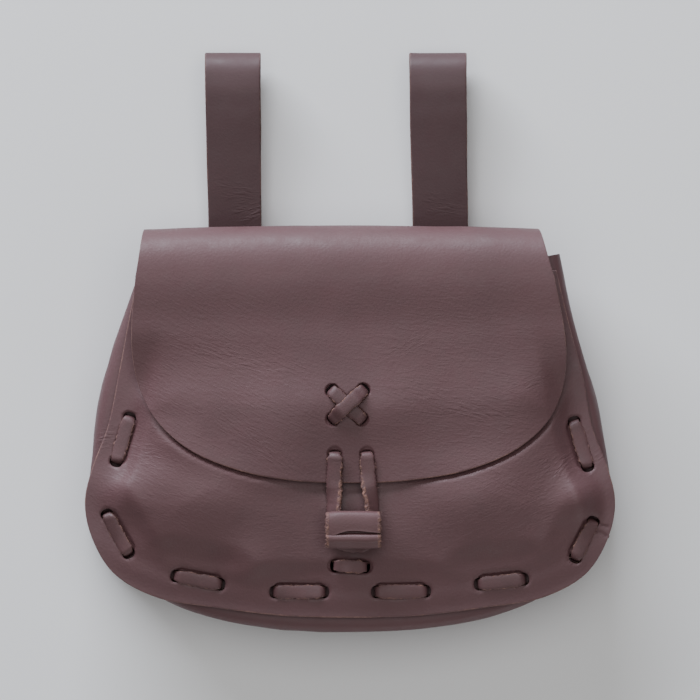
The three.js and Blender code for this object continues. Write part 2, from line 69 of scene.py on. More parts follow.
SEAM_Z = 34.0  # outer face of the front panel at its border
BACK_Z = 1.62  # outer face of the back at its bottom edge
BACK_RISE = 0.0455  # how much the back climbs for each millimetre towards the crest
BOTTOM_Y = -107.6
MOUTH_Y = 28.0  # top edge of the front panel
GAP = 0.35  # left between two pieces that lie on each other
BEND = 1.3  # radius of the middle of a lace where it turns into a hole

CREST_Y = 25.6  # where the fold over the top starts
CREST_RADIUS = 20.0  # of its outer face
CREST_BOW = 1.6  # how far its ends lie below its middle
CREST_SQUARE = 2.7  # exponent of the outer half of the fold: 2 is round, more has a shoulder
CREST_LEFT, CREST_RIGHT = -80.4, 73.6
CREST_Z = BACK_Z + BACK_RISE * (CREST_Y - BOTTOM_Y) + CREST_RADIUS  # of the fold's axis

SEAM_SLOT = 2.4  # how far a hole of the seams reaches past the middle of the lace
SEAM_PAST = 0.8  # how much of that lies past the end of its stitch
SLOT_BACK = 1.9  # and how far the other holes do, where they don't say it
SLOT_FRONT = 1.6  # how far any hole reaches the other way
SLOT_WIDE = 0.9  # width of a hole, as a share of the lace's
SLOT_ROUND = 2.3  # exponent of a hole's rounded outline: 2 is an ellipse
SQUEEZE = 0.74  # width of a lace in a hole, as a share of its own
TAPER = 2.6  # length over which a lace narrows towards its hole
TAPER_START = 0.75  # how far from its hole it has narrowed fully
TILT_LIFT = 2.2  # how far a lace is lifted where it is tilted by 45 degrees
LEATHER = 2.0  # thickness of the panels, the gusset and the straps

CURVE_POINTS = 160  # along a border or a lace's run, before it is measured off evenly
LACE_SIDES = 26  # corners of a lace's section
GUSSET_LINES = {"half": 26, "bend": 19}  # across half of the gusset's section and its bend
FLOOR_GAP = 0.3  # between the pouch's lowest point and the floor
RIGHTWARDS, DOWNWARDS = np.array((1.0, 0.0)), np.array((0.0, -1.0))

# Outlines from the top to the bottom: left, right, y
PANEL_EDGE = np.array([
    (-82.5, 80.5, MOUTH_Y),
    (-87, 86, 5),
    (-90.5, 91, -14),
    (-94.5, 94.5, -33),
    (-100.5, 100.5, -49),
    (-103.4, 103.4, -62),
    (-101.2, 101.2, -75),
    (-92.5, 92.5, -90),
    (-76, 76, -99.5),
    (-52.3, 52.3, -103.7),
    (-27, 27, -106.8),
    (-7, 7, BOTTOM_Y),
])
FLAP_EDGE = np.array([
    (-83.4, 79.4, CREST_Y),
    (-85, 83.2, 6),
    (-84.6, 84.2, -6),
    (-81.6, 82.6, -19),
    (-74.5, 76.5, -31.5),
    (-62, 64, -42.3),
    (-42, 44, -50.4),
    (-22, 22, -54),
    (-7, 7, -55),
])
GUSSET_EDGE = np.array([
    (-80.5, 82, 34.5),
    (-86.5, 85.6, 16),
    (-93.6, 91.4, -5),
    (-97.8, 95.9, -22),
    (-100.6, 100.2, -42),
    (-102.2, 102.2, -60),
    (-99.8, 99.8, -75),
    (-90.8, 90.8, -89.5),
    (-74, 74, -100.2),
    (-61, 60.8, -105.8),
    (-44, 43.5, -110.2),
    (-21.8, 21.8, -112.9),
    (0, 0, -113.6),
])

# Heights where the side of an outline ends and its lower end starts
PANEL_CORNER_Y, FLAP_CORNER_Y = -83, -27

# Half of the gusset's section, from its free edge to its side: out from its outline, and
# down from the panel that it is laced to
GUSSET_SECTION = np.array([
    (-22.5, 0), (-13, 0), (-4.4, 0), (-2.2, 0.45), (-0.8, 1.75), (-0.2, 3.6),
])

# The stitches of the seams: the outer ends of the two holes of each, then how wide the
# hollow is that the lace pulls into the front panel
STITCHES = (
    (75.3, 10.1, 80.7, -10.1, 9),
    (87.1, -29.8, 93.1, -49.8, 9),
    (95.4, -68.8, 87.3, -85.4, 15),
    (69.1, -92.4, 49.1, -94.6, 17),
    (30.8, -97.2, 9, -97.5, 13),
    (-8.9, -97.5, -30.7, -97.5, 13),
    (-49.4, -94.8, -69.3, -91, 17),
    (-85.8, -83.5, -95.4, -66.1, 14),
    (-91.6, -47.9, -85.6, -28.2, 9),
    (-80.7, -10.1, -75.3, 10.1, 9),
)
SEAM_TAILS = ((73.4, 20), (-73.4, 20))  # where a seam's lace ends inside
PLEATS = ((95.4, -73.2, 99.8, -75.6), (96.4, -70.8, 100.4, -72.2))  # as segments, x and y

# Soft forms: middle x, middle y, reach, height. The broad ones are the front's and the flap's,
# as the flap lies on the front, and the last ones lift the front's border between two stitches
BROAD_FOLDS = (
    (-58, -62, 18, 1.8),
    (-80, -64, 15, 2),
    (56, -60, 18, 1.1),
    (74, -22, 20, 1.2),
)
FRONT_FOLDS = (
    (93, -62, 11, 7),
    (-91, -60, 11, 3.4),
    (77, -84, 10, 1.2),
    (-72, -82, 12, 0.8),
    (0, -92, 10, 0.6),
    (-39, -88, 11, 2.2),
    (39, -92, 9, 0.9),
    (-30, -52, 13, -1),
    (0, -60, 16, -0.9),
    (22, -52, 13, -1),
    (0, -31, 13, -4),
    (1.3, -80, 7.5, -2.6),
    (-56, -64, 14, 1.3),
    (49, -65, 14, 0.8),
    (-74, -52, 10, 1),
)
FLAP_FOLDS = (
    (-48, 6, 16, -0.8),
    (-70, -44, 18, 2),
    (-90, -22, 20, 3),
    (-28, -35, 19, 2.2),
    (12, -31, 19, 1.2),
    (34, -30, 17, -0.6),
    (90, -2, 20, 3.2),
    (-2, -57, 18, -2.2),
    (30, -56, 18, -0.8),
    (-14, -24, 7, 0.4),
    (13, -27, 7, 0.4),
)
BORDER_FOLDS = (
    (96, -57, 9, 1.6),
    (-96, -56, 9, 1.3),
)

# The flap's lower edge sinks into the front: how far round it the front follows it, and the
# height of the soft lip below it, with how far that reaches
EDGE_PRESS = {"reach": 7, "lip": 1.9, "fade": 21}
DROOP = {"depth": 1.5, "reach": 9}  # how the border bends back along the bottom

# Fine creases of the soft leather: middle x, middle y, reach along, reach across, turn in
# degrees, spacing, height
FLAP_GRAIN_LINES = (
    (-52, -18, 48, 42, -27, 2.2, 0.016),
    (42, -16, 52, 44, -6, 2.2, 0.016),
)
FRONT_GRAIN_LINES = (
    (-68, -58, 40, 34, -20, 2.2, 0.014),
    (66, -62, 42, 34, 24, 2.2, 0.016),
    (0, -74, 50, 26, 4, 2.2, 0.012),
)
FLAP_CREASES = (
    (-41, -7, 34, 7, -15, 2.7, 0.030),
    (-33, -23, 26, 9, -20, 2.5, 0.018),
    (-34, -41, 19, 7, -33, 2.6, 0.024),
    (40, -24, 30, 7, -14, 2.8, 0.032),
    (69, -16, 13, 5, 20, 2.4, 0.024),
    (22, -1, 13, 5, 28, 2.6, 0.020),
)
STRAP_CREASES = (
    (-38, 52, 8, 5, 12, 2.4, 0.040),
    (-44, 60, 9, 5, -8, 2.6, 0.020),
    (36, 54, 8, 6, -10, 2.4, 0.020),
)
FRONT_CREASES = (
    (-79, -42, 9, 9, -8, 2.2, 0.024),
    (-97, -36, 6, 7, 4, 2.1, 0.034),
    (81, -47, 9, 8, 40, 2.4, 0.036),
    (97, -44, 6, 6, 30, 2.2, 0.030),
    (63, -54, 18, 8, -28, 2.6, 0.026),
    (34, -68, 12, 9, 80, 2.8, 0.014),
)

# The closure: where its lace passes through the flap, and its way round the toggle
CROSS = {
    "upper_left": (-7.0, -18.9),
    "upper_right": (5.3, -18.6),
    "lower_left": (-6.9, -30.2),
    "lower_right": (4.7, -30.2),
}
CROSS_WIDE = 0.88  # width of the lace where it crosses, as a share of its own
CROSS_SLOT = 0.92  # and the width that its holes are cut for
CROSS_PATCH = {"y": -34, "reach": 24}  # of the flap round the closure, which has a finer grid
STRAND_LEFT, STRAND_RIGHT = (-5.9, -43.6), (6.6, -43.6)
STRAND_ROUTE = (
    (7.3, -54),
    (8.4, -65),
    (8.4, -73.5),
    (6.2, -78.1),
    (1.5, -79.2),
    (-3.3, -78.1),
    (-6.2, -73.5),
    (-6.2, -65),
    (-6, -54),
)

TOGGLE = {"x": 1.3, "y": -73.6, "z": 48.2, "long": 21.8, "radius": 8.6, "flat": 0.74, "turns": 2.6}
TOGGLE_WRAP = {"thick": 2.1, "gap": 0.5}  # its strip, and the room between two turns
TOGGLE_GRID = {"step": 0.55, "around": 300}
TOGGLE_SQUARE = 3.4  # exponent of its flattened top: 2 is round, more is squarer
ANCHOR_LEFT, ANCHOR_RIGHT, ANCHOR_TAIL = (-5.8, -87.2), (5.9, -87.6), (3, -78)
ANCHOR_WIDE = 0.92  # width of the toggle's lace, as a share of the seams' lace

# The belt loops: the middle and the width of each strap at its lower and at its far end
LOOPS = (
    {"name": "left", "x": -45.1, "far_x": -46, "wide": 20.6, "far_wide": 21.8},
    {"name": "right", "x": 35.6, "far_x": 34.5, "wide": 21.6, "far_wide": 22.4},
)

# The middle of a strap's thickness, from its lower end, round the far end and back: y, z
LOOP_PROFILE = (
    (4, 2.95), (30, 2.95), (46, 1.9), (60, 1.02), (78, 1.02), (96, 1.02),
    (104, 1.7), (110.6, 4.6), (112.6, 9.6), (109.3, 14.6), (101.5, 16.3), (92, 15.4),
    (76, 12.7), (60, 9.9), (46, 7.2), (34, 5.5), (24, 5.3), (4, 5.3),
)
STRAP_END = max(y for y, _ in LOOP_PROFILE)
LOOP_STITCH = {"y": 16, "half": 6.4, "tail": 7, "z": 0.8}


# Small helpers

def mix(start, end, share):
    return start + (end - start) * share


def smoothstep(start, end, value):
    share = np.clip((value - start) / (end - start), 0, 1)
    return share * share * (3 - 2 * share)


def unit(vectors):
    vectors = np.asarray(vectors, float)
    return vectors / np.maximum(np.linalg.norm(vectors, axis=-1, keepdims=True), 1e-9)


def drift(x, y, size, seed):
    """Smooth random heights from -1 to 1, in lumps of the size given."""
    column, row = np.floor(x / size), np.floor(y / size)
    across, up = x / size - column, y / size - row
    across, up = across * across * (3 - 2 * across), up * up * (3 - 2 * up)

    def corner(right, above):
        mark = np.sin((column + right) * 127.1 + (row + above) * 311.7 + seed * 74.7) * 43758.5
        return 2 * (mark - np.floor(mark)) - 1

    low = mix(corner(0, 0), corner(1, 0), across)
    high = mix(corner(0, 1), corner(1, 1), across)
    return mix(low, high, up)


def curve_points(rows, count, closed=False):
    """Evenly spaced points along a smooth curve through the rows given."""
    points = np.asarray(rows, float)
    if closed:
        points = np.vstack([points[-1:], points, points[:2]])
    else:
        points = np.vstack([2 * points[:1] - points[1:2], points, 2 * points[-1:] - points[-2:-1]])
    share = np.linspace(0, 1, 24, endpoint=False)[:, None]
    fine = []
    for before, start, end, after in zip(points, points[1:], points[2:], points[3:]):
        spans = [
            max(np.linalg.norm(far - near), 1e-6) ** 0.5
            for near, far in ((before, start), (start, end), (end, after))
        ]
        leave = (start - before) / spans[0] - (end - before) / (spans[0] + spans[1])
        arrive = (after - end) / spans[2] - (after - start) / (spans[1] + spans[2])
        leave, arrive = leave * spans[1] + end - start, arrive * spans[1] + end - start
        square, cube = share**2, share**3
        fine.append(
            start * (2 * cube - 3 * square + 1) + leave * (cube - 2 * square + share)
            + end * (3 * square - 2 * cube) + arrive * (cube - square)
        )
    fine = np.vstack([*fine, points[-2:-1]])
    return even_points(fine, count)


def even_points(fine, count):
    run = np.concatenate([[0], np.cumsum(np.linalg.norm(np.diff(fine, axis=0), axis=1))])
    even = np.linspace(0, run[-1], count)
    return np.column_stack([np.interp(even, run, fine[:, axis]) for axis in range(fine.shape[1])])


def line_length(points):
    return float(np.linalg.norm(np.diff(points, axis=0), axis=1).sum())


def segment_distance(x, y, ends):
    x1, y1, x2, y2 = ends
    along = ((x - x1) * (x2 - x1) + (y - y1) * (y2 - y1)) / ((x2 - x1) ** 2 + (y2 - y1) ** 2)
    along = np.clip(along, 0, 1)
    return np.hypot(x - mix(x1, x2, along), y - mix(y1, y2, along))


def folds(rows, x, y):
    return sum(height * np.exp(-((x - at_x) ** 2 + (y - at_y) ** 2) / reach**2)
               for at_x, at_y, reach, height in rows)


def creases(rows, x, y):
    """Fine parallel ridges in soft patches."""
    total = 0
    for seed, (at_x, at_y, along, across, turn, spacing, height) in enumerate(rows):
        cosine, sine = math.cos(math.radians(turn)), math.sin(math.radians(turn))
        run = (x - at_x) * cosine + (y - at_y) * sine
        side = (y - at_y) * cosine - (x - at_x) * sine
        patch = np.exp(-((run / along) ** 2) - (side / across) ** 2)
        wander = 1.1 * drift(run, side, 11, seed) + 0.5 * drift(run, side, 5, seed + 20)
        total = total + height * patch * np.sin(2 * math.pi * (side / spacing + wander))
    return total


# Faces of the panels, as heights over the surface that the pouch lies on

def edge_curve(rows, side, count):
    return curve_points(rows[:, [0 if side == "left" else 1, 2]], count)


def outline_sides(rows):
    return [edge_curve(rows, side, CURVE_POINTS) for side in ("left", "right")]


def inside_outline(sides, x, y):
    """Distance inside an outline that is open at its top, below 0 outside it."""
    left, right = sides
    nearest = segment_distance(x, y, (*left[-1], *right[-1]))
    for at_x, at_y in np.vstack(sides):
        nearest = np.minimum(nearest, np.hypot(x - at_x, y - at_y))
    left_x, right_x = (np.interp(-y, -side[:, 1], side[:, 0]) for side in sides)
    return np.where((x > left_x) & (x < right_x) & (y > left[-1, 1]), nearest, -nearest)


PANEL_SIDES, FLAP_SIDES = outline_sides(PANEL_EDGE), outline_sides(FLAP_EDGE)


def rim_distance(x, y):
    return np.maximum(inside_outline(PANEL_SIDES, x, y), 0)


def freedom(rim):
    """0 at the border, where the seam holds the leather, and 1 well inside it."""
    return smoothstep(3, 16, rim)


def swell(x, y):
    """How far the front stands out between its seams."""
    rim = rim_distance(x, y)
    crown = mix(5, 7.2, smoothstep(MOUTH_Y, -50, y))
    inside = np.clip((rim - 7) / 47, 0, 1)
    steep = mix(3, 2, smoothstep(-40, -70, y))
    full = crown * (1 - (1 - inside) ** steep) * smoothstep(0, 0.2, inside)
    return full + folds(BROAD_FOLDS, x, y) * freedom(rim)


def hollows(x, y):
    """1 away from the stitches, and nearly 0 where a lace pulls the front panel flat."""
    open_share = 1.0
    for x1, y1, x2, y2, reach in STITCHES:
        away = segment_distance(x, y, (x1, y1, x2, y2))
        open_share = open_share * (1 - 0.5 * smoothstep(reach, reach * 0.4, away))
    return open_share


def grooves(x, y, lines, depth, wide):
    """The laces lie in shallow grooves that they press into the leather."""
    deepest = 0.0
    for line in lines:
        deepest = np.maximum(deepest, smoothstep(wide + 0.75, wide, segment_distance(x, y, line)))
    return -depth * deepest


def shortened(line, by):
    """A line that ends before its own ends, so that a groove round it ends with them."""
    start, end = np.array(line[:2], float), np.array(line[2:4], float)
    along = unit(end - start) * by
    return (*(start + along), *(end - along))


def moved_inwards(line, by):
    """A line moved sideways, towards the middle of the pouch."""
    start, end = np.array(line[:2], float), np.array(line[2:4], float)
    right, up = unit(end - start)
    side = np.array((-up, right))
    inward = side * math.copysign(by, np.dot(side, (0, -40) - (start + end) / 2))
    return (*(start + inward), *(end + inward))


def droop(x, y):
    border = smoothstep(DROOP["reach"], 0, inside_outline(PANEL_SIDES, x, y))
    return DROOP["depth"] * border * smoothstep(-76, -94, y)


SEAM_LINES = [moved_inwards(shortened(row, 3.4), 0.75) for row in STITCHES]
ANCHOR_LINE = (*ANCHOR_LEFT, *ANCHOR_RIGHT)
CROSS_LINES = [
    (*CROSS["lower_left"], *CROSS["upper_right"]),
    (*CROSS["upper_left"], *CROSS["lower_right"]),
]
STRAND_LINES = [(*STRAND_LEFT, -6, -58), (*STRAND_RIGHT, 7.9, -58)]


def seam_groove(x, y):
    """The seam's laces are sunk into the leather, with a gap on their inner side only."""
    return grooves(x, y, SEAM_LINES, 1.3, 2.5)


def pleats(x, y):
    """Short folds that a tight stitch makes in the border."""
    deepest = 0.0
    for line in PLEATS:
        deepest = np.maximum(deepest, np.exp(-((segment_distance(x, y, line) / 0.5) ** 2)))
    return -0.5 * deepest


def lip_share(x, y, beyond):
    """The soft lip beyond the flap's edge: 1 at its highest, 0 in the middle and far off."""
    lip = smoothstep(0.2, 2, beyond) * np.exp(-((beyond / EDGE_PRESS["fade"]) ** 2))
    starts = np.where(x > 0, -12, -26)
    return lip * smoothstep(0, 16, starts - y) * smoothstep(10, 38, np.abs(x))


def front_outer(x, y):
    """Outer face of the front panel: its swell and folds, the flap's mark and the grooves."""
    free = freedom(rim_distance(x, y))
    full = np.maximum(swell(x, y) * hollows(x, y) + folds(FRONT_FOLDS, x, y) * free, 0)
    beyond = -inside_outline(FLAP_SIDES, x, y)
    pressed = np.exp(-((beyond / EDGE_PRESS["reach"]) ** 2)) * smoothstep(-12, -26, y) * free
    # In the middle the flap's edge stands clear of the front
    under = 0.9 * np.exp(-((x / 26) ** 2)) * smoothstep(6, 1, beyond)
    full = mix(full, flap_inner(x, y) - GAP - under, pressed)
    lip = lip_share(x, y, beyond) * free
    anchor = grooves(x, y, [ANCHOR_LINE], 0.8, 2.5) + pleats(x, y)
    full = full + folds(BORDER_FOLDS, x, y)
    return SEAM_Z + full + EDGE_PRESS["lip"] * lip + seam_groove(x, y) + anchor - droop(x, y)


def flap_lift(x, y):
    """From the front panel to the flap: the lower edge lies down, the sides clear the laces."""
    inside = segment_distance(x, y, (-50, 0, 50, 0))
    middle = smoothstep(-14, -30, y) * smoothstep(20, 44, inside)
    sides = smoothstep(-4, -28, y) * smoothstep(64, 84, np.abs(x))
    return mix(2.7, 0.5, np.maximum(middle, sides))


def flap_inner(x, y):
    """How far the flap's inside stands out from the seams."""
    return swell(x, y) + flap_lift(x, y) + folds(FLAP_FOLDS, x, y)


def flap_outer(x, y, leather=LEATHER):
    """Outer face of the flap, which merges into the fold over the top."""
    hang = SEAM_Z + flap_inner(x, y) + leather
    hang = hang + grooves(x, y, CROSS_LINES, 0.6, 2.2) + grooves(x, y, STRAND_LINES, 0.3, 2.5)
    top = CREST_Z + CREST_RADIUS
    hang = mix(hang, top - 2.3, smoothstep(-18, 7, y))
    return mix(hang, top, smoothstep(4, CREST_Y, y))


def back_inner(y, leather):
    flat = BACK_Z + leather + BACK_RISE * (np.minimum(y, CREST_Y) - BOTTOM_Y)
    inside = CREST_RADIUS - leather
    around = np.clip(y - CREST_Y + CREST_BOW, 0, inside)
    return flat + inside - np.sqrt(inside * inside - around * around)


def back_outer(y, leather):
    return back_inner(y, leather) - leather


# Sheets of leather: a grid laid in an outline, lifted to its place and punched for the laces

BORDER = (0.14, 0.34, 0.62, 1.1)  # extra lines of a grid along a cut edge, for its rounding
EDGE_ROUND = 0.5  # radius of a cut edge


def graded(length, step):
    """Shares from 0 to 1: close together at both ends, then even."""
    middle = max(round((length - 2 * BORDER[-1]) / step), 2)
    inner = np.linspace(BORDER[-1], length - BORDER[-1], middle + 1)
    ends = np.array((0, *BORDER[:-1]))
    return np.concatenate([ends, inner, length - ends[::-1]]) / length


def new_grid(columns, rows):
    """A flat grid, with each vertex's column and row."""
    bm = bmesh.new()
    bmesh.ops.create_grid(bm, x_segments=columns, y_segments=rows, size=0.5)
    flat = np.array([vert.co[:2] for vert in bm.verts]) + 0.5
    return bm, np.rint(flat[:, 0] * columns).astype(int), np.rint(flat[:, 1] * rows).astype(int)


def place(bm, points):
    for vert, point in zip(bm.verts, points):
        vert.co = point


def where(bm):
    return np.array([vert.co for vert in bm.verts])


def blended_patch(left, right, bottom, top, across, up):
    """Points between four border curves, for each share across and up."""
    def along(curve, share):
        even = np.linspace(0, 1, len(curve))
        return np.column_stack([np.interp(share, even, curve[:, axis]) for axis in (0, 1)])

    sides = mix(along(left, up), along(right, up), across[:, None])
    ends = mix(along(bottom, across), along(top, across), up[:, None])
    low = mix(bottom[0], bottom[-1], across[:, None])
    high = mix(top[0], top[-1], across[:, None])
    return sides + ends - mix(low, high, up[:, None])


def rounding(away):
    """How deep a cut edge falls at a distance from its end."""
    inside = np.clip(EDGE_ROUND - away, 0, EDGE_ROUND)
    return EDGE_ROUND - np.sqrt(EDGE_ROUND**2 - inside**2)


def hole_frame(wide, at, onward, back=SLOT_BACK):
    """A hole round a lace that leaves it onward: its middle, direction and half sizes."""
    middle = (SLOT_FRONT - back) / 2
    return {
        "x": at[0] + onward[0] * middle,
        "y": at[1] + onward[1] * middle,
        "onward": onward,
        "half": (SLOT_FRONT + back) / 2,
        "side": wide / 2,
    }


def hole_share(hole, x, y):
    """Below 1 inside a hole, 1 on its outline and more outside."""
    right, up = hole["onward"]
    along = (x - hole["x"]) * right + (y - hole["y"]) * up
    across = (y - hole["y"]) * right - (x - hole["x"]) * up
    reach = np.abs(along / hole["half"]) ** SLOT_ROUND + np.abs(across / hole["side"]) ** SLOT_ROUND
    return reach ** (1 / SLOT_ROUND)


def nearest_hole(holes, x, y):
    """For each place, the share of the nearest hole and which hole that is."""
    shares = np.array([hole_share(hole, x, y) for hole in holes])
    return shares.min(axis=0), shares.argmin(axis=0)


def refine(bm, chosen_at):
    """Halves the grid's faces where chosen_at(x, y, z) is true of their middles."""
    chosen = [face for face, near in zip(bm.faces, chosen_at(*face_middles(bm))) if near]
    edges = dict.fromkeys(edge for face in chosen for edge in face.edges)
    bmesh.ops.subdivide_edges(bm, edges=list(edges), cuts=1, use_grid_fill=True)


def face_middles(bm):
    return np.array([face.calc_center_median() for face in bm.faces]).T


def punch(bm, holes, below=np.inf):
    """Cuts a smooth hole through the sheet at each place, where it lies below a height."""
    def share_at(x, y, z):
        return np.where(z < below, nearest_hole(holes, x, y)[0], np.inf)

    refine(bm, lambda x, y, z: share_at(x, y, z) < 2)
    inside = [face for face, near in zip(bm.faces, share_at(*face_middles(bm))) if near < 1]
    bmesh.ops.delete(bm, geom=inside, context="FACES")
    points = where(bm)
    share, index = nearest_hole(holes, points[:, 0], points[:, 1])
    for vert, near, which in zip(bm.verts, share, index):
        if vert.co.z < below and (near < 1 or (near < 1.7 and vert.is_boundary)):
            hole = holes[which]
            grow = 1 / max(near, 0.05)
            vert.co.x = hole["x"] + (vert.co.x - hole["x"]) * grow
            vert.co.y = hole["y"] + (vert.co.y - hole["y"]) * grow


def hole_edges(holes, x, y):
    """Distance to the nearest hole's outline, roughly, in millimetres."""
    share, index = nearest_hole(holes, x, y)
    size = np.array([hole["half"] for hole in holes])[index]
    return np.maximum(share - 1, 0) * size


def write_edge_mask(bm, values):
    layer = bm.verts.layers.float.new("edge")
    for vert, value in zip(bm.verts, values):
        vert[layer] = float(value)


def finish_mesh(bm, name, nodes, materials, thick=None):
    """Makes the mesh an object that rides on the pouch and stands for its plain nodes."""
    for edge in bm.edges:
        if edge.is_boundary or (len(edge.link_faces) == 2 and edge.calc_face_angle(0) > 0.9):
            edge.smooth = False
    for face in bm.faces:
        face.smooth = True
    bmesh.ops.scale(bm, vec=(MM, MM, MM), verts=bm.verts)
    mesh = bpy.data.meshes.new(name)
    bm.to_mesh(mesh)
    bm.free()
    piece = bpy.data.objects.new(name, mesh)
    bpy.context.scene.collection.objects.link(piece)
    for material in materials:
        mesh.materials.append(material)
    if thick:
        wall = piece.modifiers.new("Leather", "SOLIDIFY")
        wall.thickness = thick * MM
        wall.offset = -1
        wall.material_offset = 1
        wall.material_offset_rim = 2
    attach(piece, "root")
    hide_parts(*nodes)


# Laces: flat strips with ragged sides, which run from hole to hole

def lace_path(holes, runs, closed=False, grain_down=False):
    """Rows of x, y, z and the direction of the width, along a lace.

    runs[k] goes from holes[k] to holes[k + 1] at a height level(x, y), by way of its own
    points, and the lace turns through each hole in between. In a hole it keeps the
    direction of the run that is shown, and it is squeezed together. The last number of a
    row is the share of its full width."""
    stops = [
        [holes[index], *run.get("via", ()), holes[(index + 1) % len(holes)]]
        for index, run in enumerate(runs)
    ]
    plans = [curve_points(row, CURVE_POINTS) for row in stops]
    tangents = [unit(np.gradient(plan, axis=0)) for plan in plans]
    signs, firsts, lasts = lace_sides(tangents, grain_down)
    rows = []
    for index, run in enumerate(runs):
        free_ends = (index == 0 and not closed, index == len(runs) - 1 and not closed)
        rows.append(run_rows(run, plans[index], tangents[index], signs[index], free_ends))
        following = (index + 1) % len(runs)
        if following == 0 and not closed:
            break
        rows.append(lace_turn(
            np.array(stops[index][-1], float), run, runs[following],
            (tangents[index][-1], tangents[following][0]), (lasts[index], firsts[following]),
        ))
    return np.vstack(rows)


def turned_against(direction, other):
    return float(np.dot(direction, other)) < 0


def lace_sides(tangents, grain_down):
    """For each run, which way its width points: its sign, and its direction at both ends.

    The sign changes where a lace would otherwise turn over between two runs."""
    sign = -1 if grain_down else 1
    signs, firsts, lasts = [], [], []
    for tangent in tangents:
        lefts = np.column_stack([-tangent[:, 1], tangent[:, 0]])
        if lasts and turned_against(sign * lefts[0], lasts[-1]):
            sign = -sign
        signs.append(sign)
        firsts.append(sign * lefts[0])
        lasts.append(sign * lefts[-1])
    return signs, firsts, lasts


def run_rows(run, plan, tangent, sign, free_ends):
    """The rows of one run of a lace, which stops short of the holes at its ends."""
    level, length = run["level"], line_length(plan)
    start = 0 if free_ends[0] else BEND
    stop = length if free_ends[1] else length - BEND
    even = np.linspace(0, length, len(plan))
    shares = np.linspace(start, stop, run.get("steps", 3) + 1)
    x, y = (np.interp(shares, even, plan[:, axis]) for axis in (0, 1))
    wide_x = -sign * np.interp(shares, even, tangent[:, 1])
    wide_y = sign * np.interp(shares, even, tangent[:, 0])
    slope = (level(x + wide_x, y + wide_y) - level(x - wide_x, y - wide_y)) / 2
    tilt = run["tilt"](x, y) if "tilt" in run else 0 * x
    height = level(x, y) + np.abs(tilt) * TILT_LIFT
    from_hole = np.minimum(shares, length - shares) - TAPER_START
    round_end = np.sqrt(1 - np.clip(1 - from_hole / TAPER, 0, 1) ** 2)
    wide = run.get("wide", 1) * mix(SQUEEZE, 1, round_end)
    return np.column_stack([x, y, height, wide_x, wide_y, slope + sign * tilt, wide])


def lace_turn(hole, run, following, tangents, widths):
    """The rows of a lace in one hole."""
    inward, onward = tangents
    begin, finish = widths
    if turned_against(begin, finish):
        finish = -finish
    held = begin if run.get("shown") else finish
    above = float(run["level"](hole[:1], hole[1:])[0])
    below = float(following["level"](hole[:1], hole[1:])[0])
    turn = math.copysign(BEND, below - above)
    short = BEND * (1 - math.sqrt(0.5))
    rows = []
    if run.get("shown"):
        rows.append((*(hole - inward * short), above + turn / BEND * short, *begin, 0, SQUEEZE))
    rows.append((*hole, above + turn, *held, 0, SQUEEZE))
    rows.append((*hole, below - turn, *held, 0, SQUEEZE))
    if following.get("shown"):
        rows.append((*(hole + onward * short), below - turn / BEND * short, *finish, 0, SQUEEZE))
    return np.array(rows)


def lace_frames(path, step, closed):
    """Even rows of place, direction across, direction up and share of the width."""
    count = max(int(line_length(path[:, :3]) / step), 8)
    even = curve_points(path * (1, 1, 1, 0.5, 0.5, 0.5, 0.5), count + 1, closed)
    at, width = even[:, :3], even[:, 6] * 2
    if closed:
        along = unit(np.roll(at[:-1], -1, axis=0) - np.roll(at[:-1], 1, axis=0))
        along = np.vstack([along, along[:1]])
    else:
        along = unit(np.gradient(at, axis=0))
    up = unit(np.cross(along, even[:, 3:6]))
    return at, unit(np.cross(up, along)), up, width


def lace_section(width, thick):
    """A rounded, slightly crowned section: its places across and up."""
    angle = np.linspace(0, 2 * math.pi, LACE_SIDES + 1)
    cosine, sine = np.cos(angle), np.sin(angle)
    across = np.sign(cosine) * np.abs(cosine) ** 0.36 * width / 2
    up = np.sign(sine) * np.abs(sine) ** 0.45 * thick / 2
    return across, up + 0.25 * (1 - (2 * across / width) ** 2) * np.where(sine > 0, 1, 0.4)


def sweep_lace(path, width, thick, seed, closed=False, step=0.5, rough=1.0, bare=0.7,
               bare_from=None):
    """A lace as a closed skin, with the mask of its ragged sides.

    bare is how much of its colour a side has lost. bare_from(at, outwards) gives the share
    of the half width where the raw side starts, for places along the lace."""
    at, across, up, shares = lace_frames(path, step, closed)
    bm, station, turn = new_grid(len(at) - 1, LACE_SIDES)
    turn = turn % LACE_SIDES
    side, level = lace_section(width, thick)
    share = np.abs(side[turn]) / (width / 2)
    left = side[turn] < 0
    run = station * step
    ragged = smoothstep(0.7, 1, share)
    bite = drift(run, left * 9.0, 1.1, seed) * 0.16
    bite = (bite + drift(run, left * 9.0 + turn, 0.55, seed + 3) * 0.1) * rough
    sway = drift(run, left * 5.0, 7, seed + 5) * 0.14
    if closed:
        blend_ends = smoothstep(0, 4, station) * smoothstep(len(at) - 1, len(at) - 5, station)
        bite, sway = bite * blend_ends, sway * blend_ends
    out = side[turn] * shares[station] * (1 + (sway + bite) * ragged / (width / 2))
    place(bm, at[station] + across[station] * out[:, None] + up[station] * level[turn][:, None])
    uneven = 0.08 * drift(run, left * 3.0 + level[turn], 0.9, seed + 8)
    outwards = across[station] * np.where(left, -1, 1)[:, None]
    start = bare_from(at[station], outwards) if bare_from else 0.82
    write_edge_mask(bm, smoothstep(start, start + 0.11, share + uneven) * bare)
    bmesh.ops.remove_doubles(bm, verts=bm.verts, dist=1e-4)
    if not closed:
        bmesh.ops.holes_fill(bm, edges=[edge for edge in bm.edges if edge.is_boundary], sides=0)
    bmesh.ops.recalc_face_normals(bm, faces=bm.faces)
    return bm, (at, across, up, shares)


